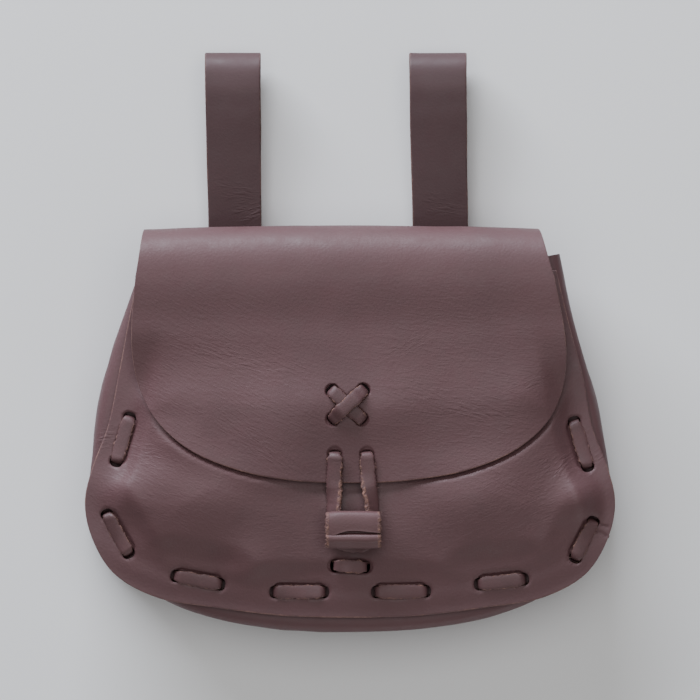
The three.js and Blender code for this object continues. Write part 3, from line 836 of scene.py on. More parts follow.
def add_fibres(bm, roots, directions, longest, seed):
    """Short stray fibres that stand out of a raw edge."""
    rng = np.random.default_rng(seed)
    layer = bm.verts.layers.float["edge"]
    for root, direction in zip(roots, directions):
        leaning = unit(direction + rng.normal(0, 0.45, 3))
        length = longest * rng.uniform(0.35, 1)
        turn = Vector((0, 0, 1)).rotation_difference(Vector(leaning)).to_matrix().to_4x4()
        turn.translation = Vector(root + leaning * length * 0.42)
        cone = bmesh.ops.create_cone(
            bm, cap_ends=True, segments=3, radius1=0.07, radius2=0.012, depth=length, matrix=turn,
        )
        for vert in cone["verts"]:
            vert[layer] = 1.0


def lace_fibres(bm, frames, shown, width, each, longest, seed):
    """Fibres along both sides of a lace, where shown(places) is true."""
    at, across, up, shares = frames
    rng = np.random.default_rng(seed)
    rows = np.flatnonzero(shown(at))
    if not len(rows):
        return
    chosen = rng.choice(rows, int(len(rows) * each))
    sides = rng.choice((-1, 1), len(chosen))[:, None]
    levels = rng.uniform(-0.3, 0.7, len(chosen))[:, None]
    reach = sides * (shares[chosen, None] * width / 2 - 0.1)
    roots = at[chosen] + across[chosen] * reach + up[chosen] * levels
    add_fibres(bm, roots, across[chosen] * sides + up[chosen] * 0.3, longest, seed + 1)


# Where the laces go through, and which way the run that is seen leaves each hole

def seam_holes():
    holes = []
    for x1, y1, x2, y2, _ in STITCHES:
        along = unit((x2 - x1, y2 - y1))
        inward = SEAM_SLOT - SEAM_PAST
        holes.append(((x1 + along[0] * inward, y1 + along[1] * inward), along, SEAM_SLOT))
        holes.append(((x2 - along[0] * inward, y2 - along[1] * inward), -along, SEAM_SLOT))
    return holes


def towards(start, end):
    return unit(np.subtract(end, start))


def closure_holes():
    low_left, high_right = CROSS["lower_left"], CROSS["upper_right"]
    high_left, low_right = CROSS["upper_left"], CROSS["lower_right"]
    return [
        (low_left, towards(low_left, high_right), 1.5),
        (high_right, towards(high_right, low_left), 2.0),
        (high_left, towards(high_left, low_right), 2.0),
        (low_right, towards(low_right, high_left), 1.5),
        (STRAND_RIGHT, DOWNWARDS, 1.5),
        (STRAND_LEFT, DOWNWARDS, 1.5),
    ]


def loop_holes(loop):
    left, right = loop["x"] - LOOP_STITCH["half"], loop["x"] + LOOP_STITCH["half"]
    return [((left, LOOP_STITCH["y"]), RIGHTWARDS), ((right, LOOP_STITCH["y"]), -RIGHTWARDS)]


def anchor_holes():
    return [(ANCHOR_LEFT, RIGHTWARDS), (ANCHOR_RIGHT, -RIGHTWARDS)]


def toggle_holes():
    return [((TOGGLE["x"], TOGGLE["y"]), DOWNWARDS)]


def hole_frames(holes, wide):
    return [hole_frame(wide * SLOT_WIDE, *hole) for hole in holes]


# The pieces

def base_curves(rows, corner_y):
    """The two sides of an outline down to a height, and its lower end between them."""
    left, right = (edge_curve(rows, side, 600) for side in ("left", "right"))
    split = int(np.argmin(np.abs(left[:, 1] - corner_y)))
    lower = np.vstack([left[split:], right[split:][::-1]])
    curves = (left[:split + 1][::-1], right[:split + 1][::-1], lower)
    return [even_points(curve, CURVE_POINTS) for curve in curves]


def cut_sheet(left, right, bottom, top, step):
    """A flat grid inside four curves, with the distance of each vertex from the cut edge."""
    width = (line_length(bottom) + line_length(top)) / 2
    height = (line_length(left) + line_length(right)) / 2
    across, up = graded(width, step), graded(height, step)
    bm, column, row = new_grid(len(across) - 1, len(up) - 1)
    flat = blended_patch(left, right, bottom, top, across[column], up[row])
    place(bm, np.column_stack([flat, np.zeros(len(flat))]))
    sides = np.minimum(across[column], 1 - across[column]) * width
    ends = np.minimum(up[row], 1 - up[row]) * height
    rim = bm.verts.layers.float.new("rim")
    for vert, away in zip(bm.verts, np.minimum(sides, ends)):
        vert[rim] = float(away)
    return bm


def edge_distances(bm, holes):
    """Each vertex's flat place, and how far it is from the outer edge and from a hole."""
    rim = bm.verts.layers.float["rim"]
    flat = where(bm)
    away = np.array([vert[rim] for vert in bm.verts])
    return flat, away, hole_edges(holes, flat[:, 0], flat[:, 1])


def mask_of(away, from_hole=np.inf):
    """Where a cut edge is worn: all of the outer edge, and faintly a hole's."""
    outer = 1 - smoothstep(0.15, 1.2, away)
    return np.maximum(outer, 0.3 * (1 - smoothstep(0, 0.4, from_hole)))


def wear_cut_edges(bm, away, from_hole):
    """Writes the mask of the worn edges, which takes the place of the distances."""
    write_edge_mask(bm, mask_of(away, from_hole))
    bm.verts.layers.float.remove(bm.verts.layers.float["rim"])


def rumple(x, y, seed):
    """The slow unevenness of soft leather."""
    return 0.16 * drift(x, y, 27, seed) + 0.07 * drift(x, y, 11, seed + 1)


def make_front_panel(sizes, finish):
    left, right, bottom = base_curves(PANEL_EDGE, PANEL_CORNER_Y)
    top = even_points(np.array([left[-1], right[-1]]), CURVE_POINTS)
    bm = cut_sheet(left, right, bottom, top, sizes.mesh_step / MM)
    holes = hole_frames(seam_holes() + anchor_holes() + toggle_holes(), sizes.lace_width / MM)

    def is_grooved(x, y, _):
        anchor = grooves(x, y, [ANCHOR_LINE], 1, 2.5)
        return seam_groove(x, y) + pleats(x, y) + anchor < -0.001

    refine(bm, is_grooved)
    punch(bm, holes)
    flat, away, from_hole = edge_distances(bm, holes)
    x, y = flat[:, 0], flat[:, 1]
    near = np.minimum(away, from_hole)
    uneven = (rumple(x, y, 3) + creases(FRONT_CREASES, x, y)) * smoothstep(2, 12, near)
    place(bm, np.column_stack([x, y, front_outer(x, y) + uneven - rounding(near)]))
    wear_cut_edges(bm, away, from_hole)
    finish_mesh(bm, "pouch_front", ["front_panel"], finish["panel"],
                thick=sizes.leather / MM)


CREST_START = CREST_Y  # along the flat sheet, from the back's bottom edge to the flap's
CREST_END = CREST_Y + math.pi * CREST_RADIUS


def sheet_height(y):
    """Where a place on the flap lies on the flat sheet."""
    return CREST_END + CREST_Y - y


def crest_ends(along):
    """The left and right ends of the sheet round the crest."""
    angle = (along - CREST_START) / CREST_RADIUS - math.pi / 2
    below = [np.where(angle < 0, PANEL_EDGE[0, side], FLAP_EDGE[0, side]) for side in (0, 1)]
    reach = np.cos(angle)
    return mix(below[0], CREST_LEFT, reach), mix(below[1], CREST_RIGHT, reach)


def lift_back_and_flap(x, along, deep, leather):
    """From the flat sheet to the pouch, at a depth below the grain."""
    angle = np.clip((along - CREST_START) / CREST_RADIUS, 0, math.pi) - math.pi / 2
    reach = np.cos(angle)
    square = np.abs(reach) ** CREST_SQUARE + np.abs(np.sin(angle)) ** CREST_SQUARE
    shoulder = np.where(angle > 0, square ** (-1 / CREST_SQUARE), 1)
    radius = (CREST_RADIUS - deep) * shoulder
    bow = CREST_BOW * (x / CREST_LEFT) ** 2 * reach
    flap_y = CREST_Y - (along - CREST_END)
    on_back, on_flap = along <= CREST_START, along >= CREST_END
    y = np.where(on_back, along, np.where(on_flap, flap_y, CREST_Y + radius * reach - bow))
    back = back_outer(np.minimum(along, CREST_Y), leather) + deep
    flap = flap_outer(x, np.minimum(flap_y, CREST_Y), leather) - deep
    crest = CREST_Z + radius * np.sin(angle)
    return np.column_stack([x, y, np.where(on_back, back, np.where(on_flap, flap, crest))])


def make_back_and_flap(sizes, finish):
    leather = sizes.leather / MM
    back_rows = PANEL_EDGE.copy()
    back_rows[0, 2] = CREST_Y
    back_left, back_right, bottom = base_curves(back_rows, PANEL_CORNER_Y)
    flap_left, flap_right, flap_end = base_curves(FLAP_EDGE, FLAP_CORNER_Y)
    crest = np.linspace(CREST_START, CREST_END, 60)[1:-1]
    crest_left, crest_right = crest_ends(crest)
    sides = []
    for back, ends, flap in (
        (back_left, crest_left, flap_left),
        (back_right, crest_right, flap_right),
    ):
        over = np.column_stack([flap[::-1, 0], sheet_height(flap[::-1, 1])])
        sides.append(even_points(np.vstack([back, np.column_stack([ends, crest]), over]), 400))
    top = np.column_stack([flap_end[:, 0], sheet_height(flap_end[:, 1])])
    bm = cut_sheet(*sides, bottom, top, sizes.mesh_step / MM * 1.16)
    flap_holes = [((x, sheet_height(y)), np.array((right, -up)), back)
                  for (x, y), (right, up), back in closure_holes()]
    back_holes = seam_holes() + [hole for loop in LOOPS for hole in loop_holes(loop)]
    holes = hole_frames(back_holes, sizes.lace_width / MM)
    holes += hole_frames(flap_holes, sizes.closure_width / MM * CROSS_SLOT)

    def in_patch(x, along, _):
        return np.hypot(x, sheet_height(along) - CROSS_PATCH["y"]) < CROSS_PATCH["reach"]

    refine(bm, in_patch)
    punch(bm, holes)
    flat, away, from_hole = edge_distances(bm, holes)
    x, along = flat[:, 0], flat[:, 1]
    near = np.minimum(away, from_hole)
    uneven = rumple(x, along, 7) * smoothstep(1, 14, near)
    uneven += creases(FLAP_CREASES, x, sheet_height(along)) * smoothstep(1, 6, near)
    place(bm, lift_back_and_flap(x, along, rounding(near) - uneven, leather))
    wear_cut_edges(bm, away, from_hole)
    bmesh.ops.reverse_faces(bm, faces=bm.faces)
    finish_mesh(bm, "pouch_back_and_flap", ["back_flap"], finish["panel"],
                thick=leather)


def make_gusset(sizes, finish):
    leather = sizes.leather / MM
    left, right = GUSSET_EDGE[:, [0, 2]], GUSSET_EDGE[:-1, [1, 2]][::-1]
    length = line_length(curve_points(np.vstack([left, right]), 400))
    step = sizes.mesh_step / MM * 1.3
    stations = int(length / step)
    outline = curve_points(np.vstack([left, right]), stations + 1)
    tangent = unit(np.gradient(outline, axis=0))
    outward = np.column_stack([tangent[:, 1], -tangent[:, 0]])
    half = GUSSET_LINES["half"]
    bend = curve_points(GUSSET_SECTION, GUSSET_LINES["bend"])
    bm, station, line = new_grid(stations, 2 * half)
    front_half = line <= half
    inner_line = np.minimum(line, 2 * half - line)
    on_bend = inner_line < len(bend)
    picked = np.minimum(inner_line, len(bend) - 1)
    side_share = np.clip((inner_line - len(bend) + 1) / (half - len(bend) + 1), 0, 1)
    front_z, back_z = SEAM_Z - leather - GAP, back_inner(outline[station, 1], leather) + GAP
    middle_down = (front_z - back_z) / 2
    down = np.where(on_bend, bend[picked, 1], mix(bend[-1, 1], middle_down, side_share))
    run = station * step
    belly = 0.5 * drift(run, np.ones_like(run), 23, 12) + 0.25 * drift(run, line * 1.0, 9, 13)
    out = np.where(on_bend, bend[picked, 0], mix(bend[-1, 0], 0, np.sin(side_share * math.pi / 2)))
    out = out + belly * smoothstep(-3, 0, out) * smoothstep(1.5, 8, down)
    x = outline[station, 0] + outward[station, 0] * out
    y = outline[station, 1] + outward[station, 1] * out
    bent = droop(x, y) * (1 - side_share)
    z = np.where(front_half, front_z - down + seam_groove(x, y) - bent, back_z + down)
    place(bm, np.column_stack([x, y, z]))
    punch(bm, hole_frames(seam_holes(), sizes.lace_width / MM))
    write_edge_mask(bm, mask_of(np.abs(where(bm)[:, 1] - GUSSET_EDGE[0, 2])))
    bmesh.ops.reverse_faces(bm, faces=bm.faces)
    finish_mesh(bm, "pouch_gusset", ["gusset"], finish["panel"], thick=leather)


def steps_for(length):
    """Rows for a lace's run of a length, about one for each 1.2 mm."""
    return max(int(length / 1.2), 3)


def make_seam_laces(sizes, finish):
    leather, thick, wide = sizes.leather / MM, sizes.lace_thickness / MM, sizes.lace_width / MM
    on_face = GAP + thick / 2
    at_holes = [at for at, *_ in seam_holes()]
    holes = [SEAM_TAILS[0], *at_holes, SEAM_TAILS[1]]

    def over_front(x, y):
        """The two stitches at the middle of the bottom are tilted, with their outer side up."""
        middle = smoothstep(26, 10, np.abs(x + 0.3)) * smoothstep(-84, -90, y)
        return front_outer(x, y) + on_face - 0.15 + 0.17 * middle * (-97.4 - y)

    def under_flange(x, y):
        return SEAM_Z - 2 * leather - GAP - on_face + seam_groove(x, y) - droop(x, y)

    def outside_back(x, y):
        return back_outer(y, leather) - on_face

    def inside_flange(x, y):
        return back_inner(y, leather) + GAP + leather + on_face + GAP

    for name, node_name, outside, inside, seed in (
        ("pouch_front_lace", "front_lace", over_front, under_flange, 11),
        ("pouch_back_lace", "back_lace", outside_back, inside_flange, 12),
    ):
        runs = []
        for index in range(len(holes) - 1):
            long = math.dist(holes[index], holes[index + 1])
            shown = index % 2 == 1
            level = outside if shown else inside
            runs.append({"level": level, "steps": steps_for(long), "shown": shown})
        path = lace_path(holes, runs, grain_down=node_name == "back_lace")
        bm, frames = sweep_lace(path, wide, thick, seed, rough=1.6)

        def is_shown(at, outside=outside):
            return np.abs(at[:, 2] - outside(at[:, 0], at[:, 1])) < 0.4

        lace_fibres(bm, frames, is_shown, wide, 0.9, sizes.fibre / MM, seed)
        finish_mesh(bm, name, [node_name], finish["lace"])


def strand_tilt(x, y):
    """How steeply the closure's strands turn their inner sides up, on their way down."""
    steep = np.where(x > 0, smoothstep(-50, -65, y) * 0.8, 0.2 + 0.5 * smoothstep(-54, -65, y))
    return -steep * smoothstep(-75, -69, y)


def strand_raw_side(at, outwards):
    """Where the raw side of the closure's lace starts: further in on a strand's inner side."""
    inner = outwards[:, 0] * np.where(at[:, 0] > TOGGLE["x"], -1, 1) > 0.3
    strand = smoothstep(STRAND_LEFT[1] - 2, STRAND_LEFT[1] - 6, at[:, 1])
    wider = mix(0.2, 0.4, smoothstep(-50, -64, at[:, 1]))
    return 0.86 + 0.3 * strand * ~inner - strand * inner * wider


def make_closure_lace(sizes, finish):
    thick, wide = sizes.lace_thickness / MM, sizes.closure_width / MM
    leather = sizes.leather / MM
    on_face = GAP + thick / 2
    crossing = np.add(CROSS["lower_left"], CROSS["upper_right"]) / 2

    def over_flap(x, y):
        return flap_outer(x, y, leather) + on_face

    def over_cross(x, y):
        away = np.hypot(x - crossing[0], y - crossing[1])
        return over_flap(x, y) + (thick + GAP + 0.1) * smoothstep(7.6, 3.3, away)

    def under_flap(x, y):
        return flap_outer(x, y, leather) - leather - on_face

    def over_strands(x, y):
        lower, upper = front_outer(x, y), flap_outer(x, y, leather)
        return mix(lower, upper, smoothstep(-64, -55.6, y)) + on_face

    holes = [at for at, *_ in closure_holes()]
    runs = [
        {"level": over_cross, "steps": 20, "shown": True, "wide": CROSS_WIDE},
        {"level": under_flap, "steps": 6},
        {"level": over_flap, "steps": 20, "shown": True, "wide": CROSS_WIDE},
        {"level": under_flap, "steps": 6},
        {"level": over_strands, "steps": 60, "via": STRAND_ROUTE, "shown": True,
         "tilt": strand_tilt},
        {"level": under_flap, "steps": 6},
    ]
    path = lace_path(holes, runs, closed=True)
    bm, frames = sweep_lace(path, wide, thick, 21, closed=True, step=0.4, rough=1.9, bare=1.0,
                            bare_from=strand_raw_side)

    def is_shown(at):
        return at[:, 2] > flap_outer(at[:, 0], at[:, 1]) - 2

    lace_fibres(bm, frames, is_shown, wide, 2.6, sizes.fibre / MM * 0.7, 22)
    finish_mesh(bm, "pouch_closure_lace", ["closure_lace"], finish["lace"])


def squared(angle, turned):
    """Turns the outer turn's upper quarter from round to nearly square, to flatten its top."""
    cosine, sine = np.abs(np.cos(angle)), np.abs(np.sin(angle))
    square = (cosine**TOGGLE_SQUARE + sine**TOGGLE_SQUARE) ** (-1 / TOGGLE_SQUARE)
    upper = (np.cos(angle) > 0) & (np.sin(angle) > 0) & (turned < 0.5)
    return np.where(upper, square, 1)


def make_toggle(sizes, finish):
    """A strip rolled up on itself, with its free end on top."""
    thick, gap = TOGGLE_WRAP["thick"], TOGGLE_WRAP["gap"]
    across, around = graded(TOGGLE["long"], TOGGLE_GRID["step"]), TOGGLE_GRID["around"]
    bm, column, row = new_grid(len(across) - 1, around)
    share = across[column]
    turned = TOGGLE["turns"] * (1 - row / around)
    # The free end slants across the top: degrees round the roll, from +Y upwards
    free_end = 88 + 16 * smoothstep(0.5, 0, share) ** 1.4 + 5 * smoothstep(0.5, 1, share)
    angle = np.radians(mix(free_end, 95, smoothstep(0, 0.5, turned)) - 360 * turned)
    radius = TOGGLE["radius"] - (thick + gap) * turned
    # The turn below dips where it goes under the free end, and it bulges just before
    crevice = 2.4 * np.exp(-(((turned - 1.0) / 0.016) ** 2))
    bulge = 1.3 * np.exp(-(((turned - 0.94) / 0.05) ** 2))
    dip_of_end = 1.3 * smoothstep(0.2, 0, turned) + 0.2 * np.exp(-((turned / 0.03) ** 2))
    dip = rounding(np.minimum(share, 1 - share) * TOGGLE["long"])
    uneven = 0.16 * drift(share * 23, turned * 40, 6, 31) - 0.35 * (2 * share - 1) ** 4
    radius = (radius - crevice + bulge + uneven - dip) * squared(angle, turned)
    run = turned * 50
    ragged = 0.28 * drift(run, (share > 0.5) * 7.0, 1.3, 33)
    ragged = ragged + 0.2 * drift(run, np.zeros_like(run), 0.5, 34)
    x = TOGGLE["x"] + (share - 0.5) * (TOGGLE["long"] - 0.6 + 2 * ragged)
    y = TOGGLE["y"] + radius * np.cos(angle)
    z = TOGGLE["z"] + radius * np.sin(angle) * TOGGLE["flat"] - dip_of_end
    place(bm, np.column_stack([x, y, z]))
    punch(bm, hole_frames(toggle_holes(), sizes.lace_width / MM), below=TOGGLE["z"])
    points = where(bm)
    ends = TOGGLE["long"] / 2 - np.abs(points[:, 0] - TOGGLE["x"])
    write_edge_mask(bm, 1 - smoothstep(0.9, 1.9, ends))
    bmesh.ops.reverse_faces(bm, faces=bm.faces)
    skins = [*finish["lace"], *finish["panel"][1:]]
    finish_mesh(bm, "pouch_toggle", ["toggle"], skins, thick=thick)
    make_toggle_fibres(points, ends, sizes, finish)


def make_toggle_fibres(points, ends, sizes, finish):
    """Stray fibres at both ends of the roll, on its upper side."""
    rng = np.random.default_rng(35)
    outer = np.flatnonzero((ends < 0.5) & (points[:, 2] > TOGGLE["z"] - 2))
    chosen = points[rng.choice(outer, 220)]
    outwards = np.sign(chosen[:, :1] - TOGGLE["x"]) * (1, 0, 0)
    fibres = bmesh.new()
    fibres.verts.layers.float.new("edge")
    add_fibres(fibres, chosen - outwards * 0.2, outwards, sizes.fibre / MM, 36)
    finish_mesh(fibres, "pouch_toggle_fibres", ["toggle"], finish["lace"])


def make_toggle_lace(sizes, finish):
    leather, thick, wide = sizes.leather / MM, sizes.lace_thickness / MM, sizes.lace_width / MM
    on_face = GAP + thick / 2

    def over_front(x, y):
        return front_outer(x, y) + on_face - 0.1

    def under_front(x, y):
        return front_outer(x, y) - leather - on_face

    holes = [(TOGGLE["x"], TOGGLE["y"]), ANCHOR_LEFT, ANCHOR_RIGHT, ANCHOR_TAIL]
    runs = [
        {"level": under_front, "steps": 8},
        {"level": over_front, "steps": 8, "shown": True},
        {"level": under_front, "steps": 5},
    ]
    path = lace_path(holes, runs)
    bottom, top = path[0, 2] + BEND, TOGGLE["z"] - 1
    heights = (top, mix(top, bottom, 0.5), bottom)
    shank = [(TOGGLE["x"], TOGGLE["y"], z, *path[0, 3:5], 0, SQUEEZE) for z in heights]
    path = np.vstack([shank, path[1:]])
    bm, frames = sweep_lace(path, wide * ANCHOR_WIDE, thick, 41, rough=1.8, bare=1.0)

    def is_shown(at):
        return (at[:, 2] > front_outer(at[:, 0], at[:, 1]) + 0.3) & (at[:, 1] < -84)

    lace_fibres(bm, frames, is_shown, wide * 0.9, 1.6, sizes.fibre / MM, 42)
    finish_mesh(bm, "pouch_toggle_lace", ["toggle_lace"], finish["lace"])


def strap_at(loop, y):
    """The middle and the width of a strap at a height."""
    far = smoothstep(CREST_Y, STRAP_END, y)
    return mix(loop["x"], loop["far_x"], far), mix(loop["wide"], loop["far_wide"], far)


def make_belt_loop(loop, sizes, finish):
    thick = sizes.leather / MM
    step = sizes.mesh_step / MM * 1.1
    profile = curve_points([(0, *row) for row in LOOP_PROFILE], 1400)[:, 1:]
    length = line_length(profile)
    along, across = graded(length, step), graded(loop["wide"], step)
    bm, column, row = new_grid(len(across) - 1, len(along) - 1)
    even = np.linspace(0, 1, len(profile))
    y = np.interp(along[row], even, profile[:, 0])
    z = np.maximum(np.interp(along[row], even, profile[:, 1]), thick / 2)
    tangent = unit(np.gradient(profile, axis=0))
    out_y = np.interp(along[row], even, tangent[:, 1])
    out_z = -np.interp(along[row], even, tangent[:, 0])
    side = across[column] - 0.5
    sides = np.minimum(across[column], 1 - across[column]) * loop["wide"]
    run = along[row] * length
    seed = 50 + len(loop["name"])
    uneven = 0.12 * drift(run, side * 20, 19, seed) + 0.05 * drift(run, side * 20, 7, seed + 1)
    # The upper layer is cupped, and the lower one stays flat where it rests
    cup = 0.5 * (2 * side) ** 2 * smoothstep(40, 80, y) * smoothstep(110, 98, y) * (z > 8)
    proud = thick / 2 - rounding(sides) + uneven * smoothstep(0, 4, sides) - cup
    proud = np.where(z < 4, np.minimum(proud, thick / 2), proud)
    middle, wide = strap_at(loop, y)
    x = middle + side * (wide + 0.25 * drift(run, np.sign(side) * 3, 16, seed + 2))
    place(bm, np.column_stack([x, y + out_y * proud, z + out_z * proud]))
    punch(bm, hole_frames(loop_holes(loop), sizes.lace_width / MM))
    points = where(bm)
    middle, wide = strap_at(loop, points[:, 1])
    from_side = wide / 2 - np.abs(points[:, 0] - middle)
    write_edge_mask(bm, mask_of(np.maximum(from_side, 0)))
    bmesh.ops.reverse_faces(bm, faces=bm.faces)
    name = loop["name"]
    finish_mesh(bm, f"pouch_belt_loop_{name}", [f"belt_loop_{name}"],
                finish["strap"], thick=thick)


def make_loop_lace(loop, sizes, finish):
    """A short staple through both ends of a strap and the back."""
    leather, thick, wide = sizes.leather / MM, sizes.lace_thickness / MM, sizes.lace_width / MM

    def inside_back(x, y):
        return back_inner(y, leather) + GAP + thick / 2

    def outside(x, y):
        return LOOP_STITCH["z"] + 0 * x

    first, second = (at for at, *_ in loop_holes(loop))
    start = (first[0] - LOOP_STITCH["tail"], LOOP_STITCH["y"])
    end = (second[0] + LOOP_STITCH["tail"], LOOP_STITCH["y"])
    runs = [
        {"level": inside_back, "steps": 6},
        {"level": outside, "steps": 8, "shown": True},
        {"level": inside_back, "steps": 6},
    ]
    path = lace_path([start, first, second, end], runs, grain_down=True)
    bm, frames = sweep_lace(path, wide, thick, 61)
    lace_fibres(bm, frames, lambda at: at[:, 2] < 1.2, wide, 0.8, sizes.fibre / MM * 0.6, 62)
    name = loop["name"]
    finish_mesh(bm, f"pouch_loop_lace_{name}", [f"loop_lace_{name}"],
                finish["lace"])


# Node groups: each effect is built once and placed in the materials with its own values

def node(tree, kind, values=None, **settings):
    """A new shader node. values gives its sockets a number, a colour or another socket."""
    made = tree.nodes.new("ShaderNode" + kind)
    for key, value in settings.items():
        setattr(made, key, value)
    for socket, value in (values or {}).items():
        if isinstance(value, bpy.types.NodeSocket):
            tree.links.new(value, made.inputs[socket])
        else:
            made.inputs[socket].default_value = value
    return made


def maths(tree, operation, *values):
    return node(tree, "Math", dict(enumerate(values)), operation=operation).outputs[0]


def ramp(tree, value, start, end, low=0.0, high=1.0):
    """A smooth step of a value between two limits."""
    limits = {"Value": value, "From Min": start, "From Max": end, "To Min": low, "To Max": high}
    return node(tree, "MapRange", limits, interpolation_type="SMOOTHSTEP").outputs[0]


def blend_colours(tree, share, first, second):
    return node(tree, "Mix", {0: share, 6: first, 7: second}, data_type="RGBA").outputs[2]


def new_group(name, inputs, outputs):
    tree = bpy.data.node_groups.new(name, "ShaderNodeTree")
    for label, kind in inputs.items():
        tree.interface.new_socket(label, in_out="INPUT", socket_type="NodeSocket" + kind)
    for label, kind in outputs.items():
        tree.interface.new_socket(label, in_out="OUTPUT", socket_type="NodeSocket" + kind)
    return tree, tree.nodes.new("NodeGroupInput").outputs, tree.nodes.new("NodeGroupOutput").inputs


def group(tree, made, values):
    return node(tree, "Group", values, node_tree=made).outputs


def noise(tree, vector, scale, detail, roughness=0.5, distortion=0.0):
    return node(tree, "TexNoise", {
        "Vector": vector, "Scale": scale, "Detail": detail, "Roughness": roughness,
        "Distortion": distortion,
    }).outputs[0]


def grain_group():
    """Small soft pebbles."""
    tree, given, out = new_group(
        "Leather grain",
        {"Vector": "Vector", "Pebbles per metre": "Float", "Depth": "Float"},
        {"Height": "Float"},
    )
    vector, density = given["Vector"], given["Pebbles per metre"]
    sway = node(tree, "TexNoise", {"Vector": vector, "Scale": 420.0}).outputs[1]
    vectors = {0: sway, 1: (0.0008,) * 3, 2: vector}
    bent = node(tree, "VectorMath", vectors, operation="MULTIPLY_ADD")
    pebbles = node(tree, "TexVoronoi", {
        "Vector": bent.outputs[0], "Scale": density, "Smoothness": 0.6,
    }, feature="SMOOTH_F1").outputs[0]
    fine = noise(tree, vector, maths(tree, "MULTIPLY", density, 2.3), 3.0, 0.6)
    both = maths(tree, "MULTIPLY_ADD", pebbles, -0.8, maths(tree, "MULTIPLY", fine, 0.7))
    tree.links.new(maths(tree, "MULTIPLY", both, given["Depth"]), out["Height"])
    return tree


def crease_group():
    """A soft patch of fine creases that run one way."""
    tree, given, out = new_group(
        "Crease patch",
        {"Vector": "Vector", "Middle": "Vector", "Turn": "Float", "Along": "Float",
         "Across": "Float", "Spacing": "Float", "Depth": "Float"},
        {"Height": "Float"},
    )
    vectors = {0: given["Vector"], 1: given["Middle"]}
    moved = node(tree, "VectorMath", vectors, operation="SUBTRACT")
    turned = node(tree, "VectorRotate", {
        "Vector": moved.outputs[0], "Angle": maths(tree, "MULTIPLY", given["Turn"], -1.0),
    }, rotation_type="Z_AXIS")
    parts = node(tree, "SeparateXYZ", {0: turned.outputs[0]}).outputs
    reach = node(tree, "CombineXYZ", {
        0: maths(tree, "DIVIDE", parts[0], given["Along"]),
        1: maths(tree, "DIVIDE", parts[1], given["Across"]),
        2: maths(tree, "DIVIDE", parts[2], 0.02),
    })
    away = node(tree, "VectorMath", {0: reach.outputs[0]}, operation="LENGTH").outputs[1]
    lines = node(tree, "CombineXYZ", {
        0: maths(tree, "DIVIDE", maths(tree, "MULTIPLY", parts[0], 0.2), given["Spacing"]),
        1: maths(tree, "DIVIDE", parts[1], given["Spacing"]),
    })
    waves = noise(tree, lines.outputs[0], 1.0, 2.0, 0.5, 0.7)
    valley = maths(tree, "ABSOLUTE", maths(tree, "SUBTRACT", waves, 0.5))
    ridge = ramp(tree, valley, 0.0, 0.2)
    patch = ramp(tree, away, 1.5, 0.2)
    share = maths(tree, "MULTIPLY", ridge, patch)
    tree.links.new(maths(tree, "MULTIPLY", share, given["Depth"]), out["Height"])
    return tree


def tone_group():
    """Slow changes of a leather's colour and gloss."""
    tree, given, out = new_group(
        "Leather tone",
        {"Vector": "Vector", "Colour": "Color", "Deep colour": "Color", "Roughness": "Float"},
        {"Colour": "Color", "Roughness": "Float"},
    )
    vector = given["Vector"]
    broad = noise(tree, vector, 26.0, 3.0, 0.55, 0.4)
    close = noise(tree, vector, 170.0, 4.0, 0.6)
    fine = noise(tree, vector, 1500.0, 2.0, 0.6)
    cloud = maths(tree, "MULTIPLY_ADD", broad, 0.55, maths(tree, "MULTIPLY", close, 0.3))
    cloud = maths(tree, "MULTIPLY_ADD", fine, 0.15, cloud)
    deep = ramp(tree, cloud, 0.58, 0.38)
    colour = blend_colours(tree, deep, given["Colour"], given["Deep colour"])
    tree.links.new(colour, out["Colour"])
    uneven = maths(tree, "SUBTRACT", close, 0.5)
    gloss = maths(tree, "MULTIPLY_ADD", uneven, 0.35, given["Roughness"])
    tree.links.new(gloss, out["Roughness"])
    return tree


def wear_group():
    """Where a cut edge has lost its colour."""
    tree, given, out = new_group(
        "Worn edge",
        {"Vector": "Vector", "Edge": "Float", "Amount": "Float"},
        {"Mask": "Float"},
    )
    rough = noise(tree, given["Vector"], 650.0, 4.0, 0.65)
    long = noise(tree, given["Vector"], 60.0, 2.0)
    uneven = maths(tree, "MULTIPLY", maths(tree, "ADD", rough, long), 0.9)
    reach = maths(tree, "ADD", given["Edge"], maths(tree, "SUBTRACT", uneven, 0.9))
    worn = maths(tree, "MULTIPLY", ramp(tree, reach, 0.7, 1.15), given["Edge"])
    tree.links.new(maths(tree, "MULTIPLY", worn, given["Amount"]), out["Mask"])
    return tree


def fibre_group():
    """The felted fibres of raw leather."""
    tree, given, out = new_group(
        "Raw fibres",
        {"Vector": "Vector", "Colour": "Color", "Dark colour": "Color", "Depth": "Float"},
        {"Colour": "Color", "Height": "Float"},
    )
    threads = noise(tree, given["Vector"], 1900.0, 5.0, 0.7, 1.2)
    lumps = noise(tree, given["Vector"], 420.0, 2.0)
    both = maths(tree, "MULTIPLY_ADD", threads, 0.65, maths(tree, "MULTIPLY", lumps, 0.35))
    shade = ramp(tree, both, 0.62, 0.4)
    colour = blend_colours(tree, shade, given["Colour"], given["Dark colour"])
    tree.links.new(colour, out["Colour"])
    tree.links.new(maths(tree, "MULTIPLY", both, given["Depth"]), out["Height"])
    return tree


# Materials

def new_material(name):
    material = bpy.data.materials.new(name)
    material.use_nodes = True
    tree = material.node_tree
    return material, tree, tree.nodes["Principled BSDF"]


def place_of(tree):
    return node(tree, "TexCoord").outputs["Object"]


def rgba(colour):
    return (*colour, 1.0)


def darker(colour, share):
    return (*(part * share for part in colour), 1.0)


def edge_mask(tree):
    return node(tree, "Attribute", attribute_name="edge").outputs["Fac"]


def bump(tree, shader, height):
    made = node(tree, "Bump", {"Height": height, "Strength": 1.0, "Distance": 1.0})
    tree.links.new(made.outputs[0], shader.inputs["Normal"])


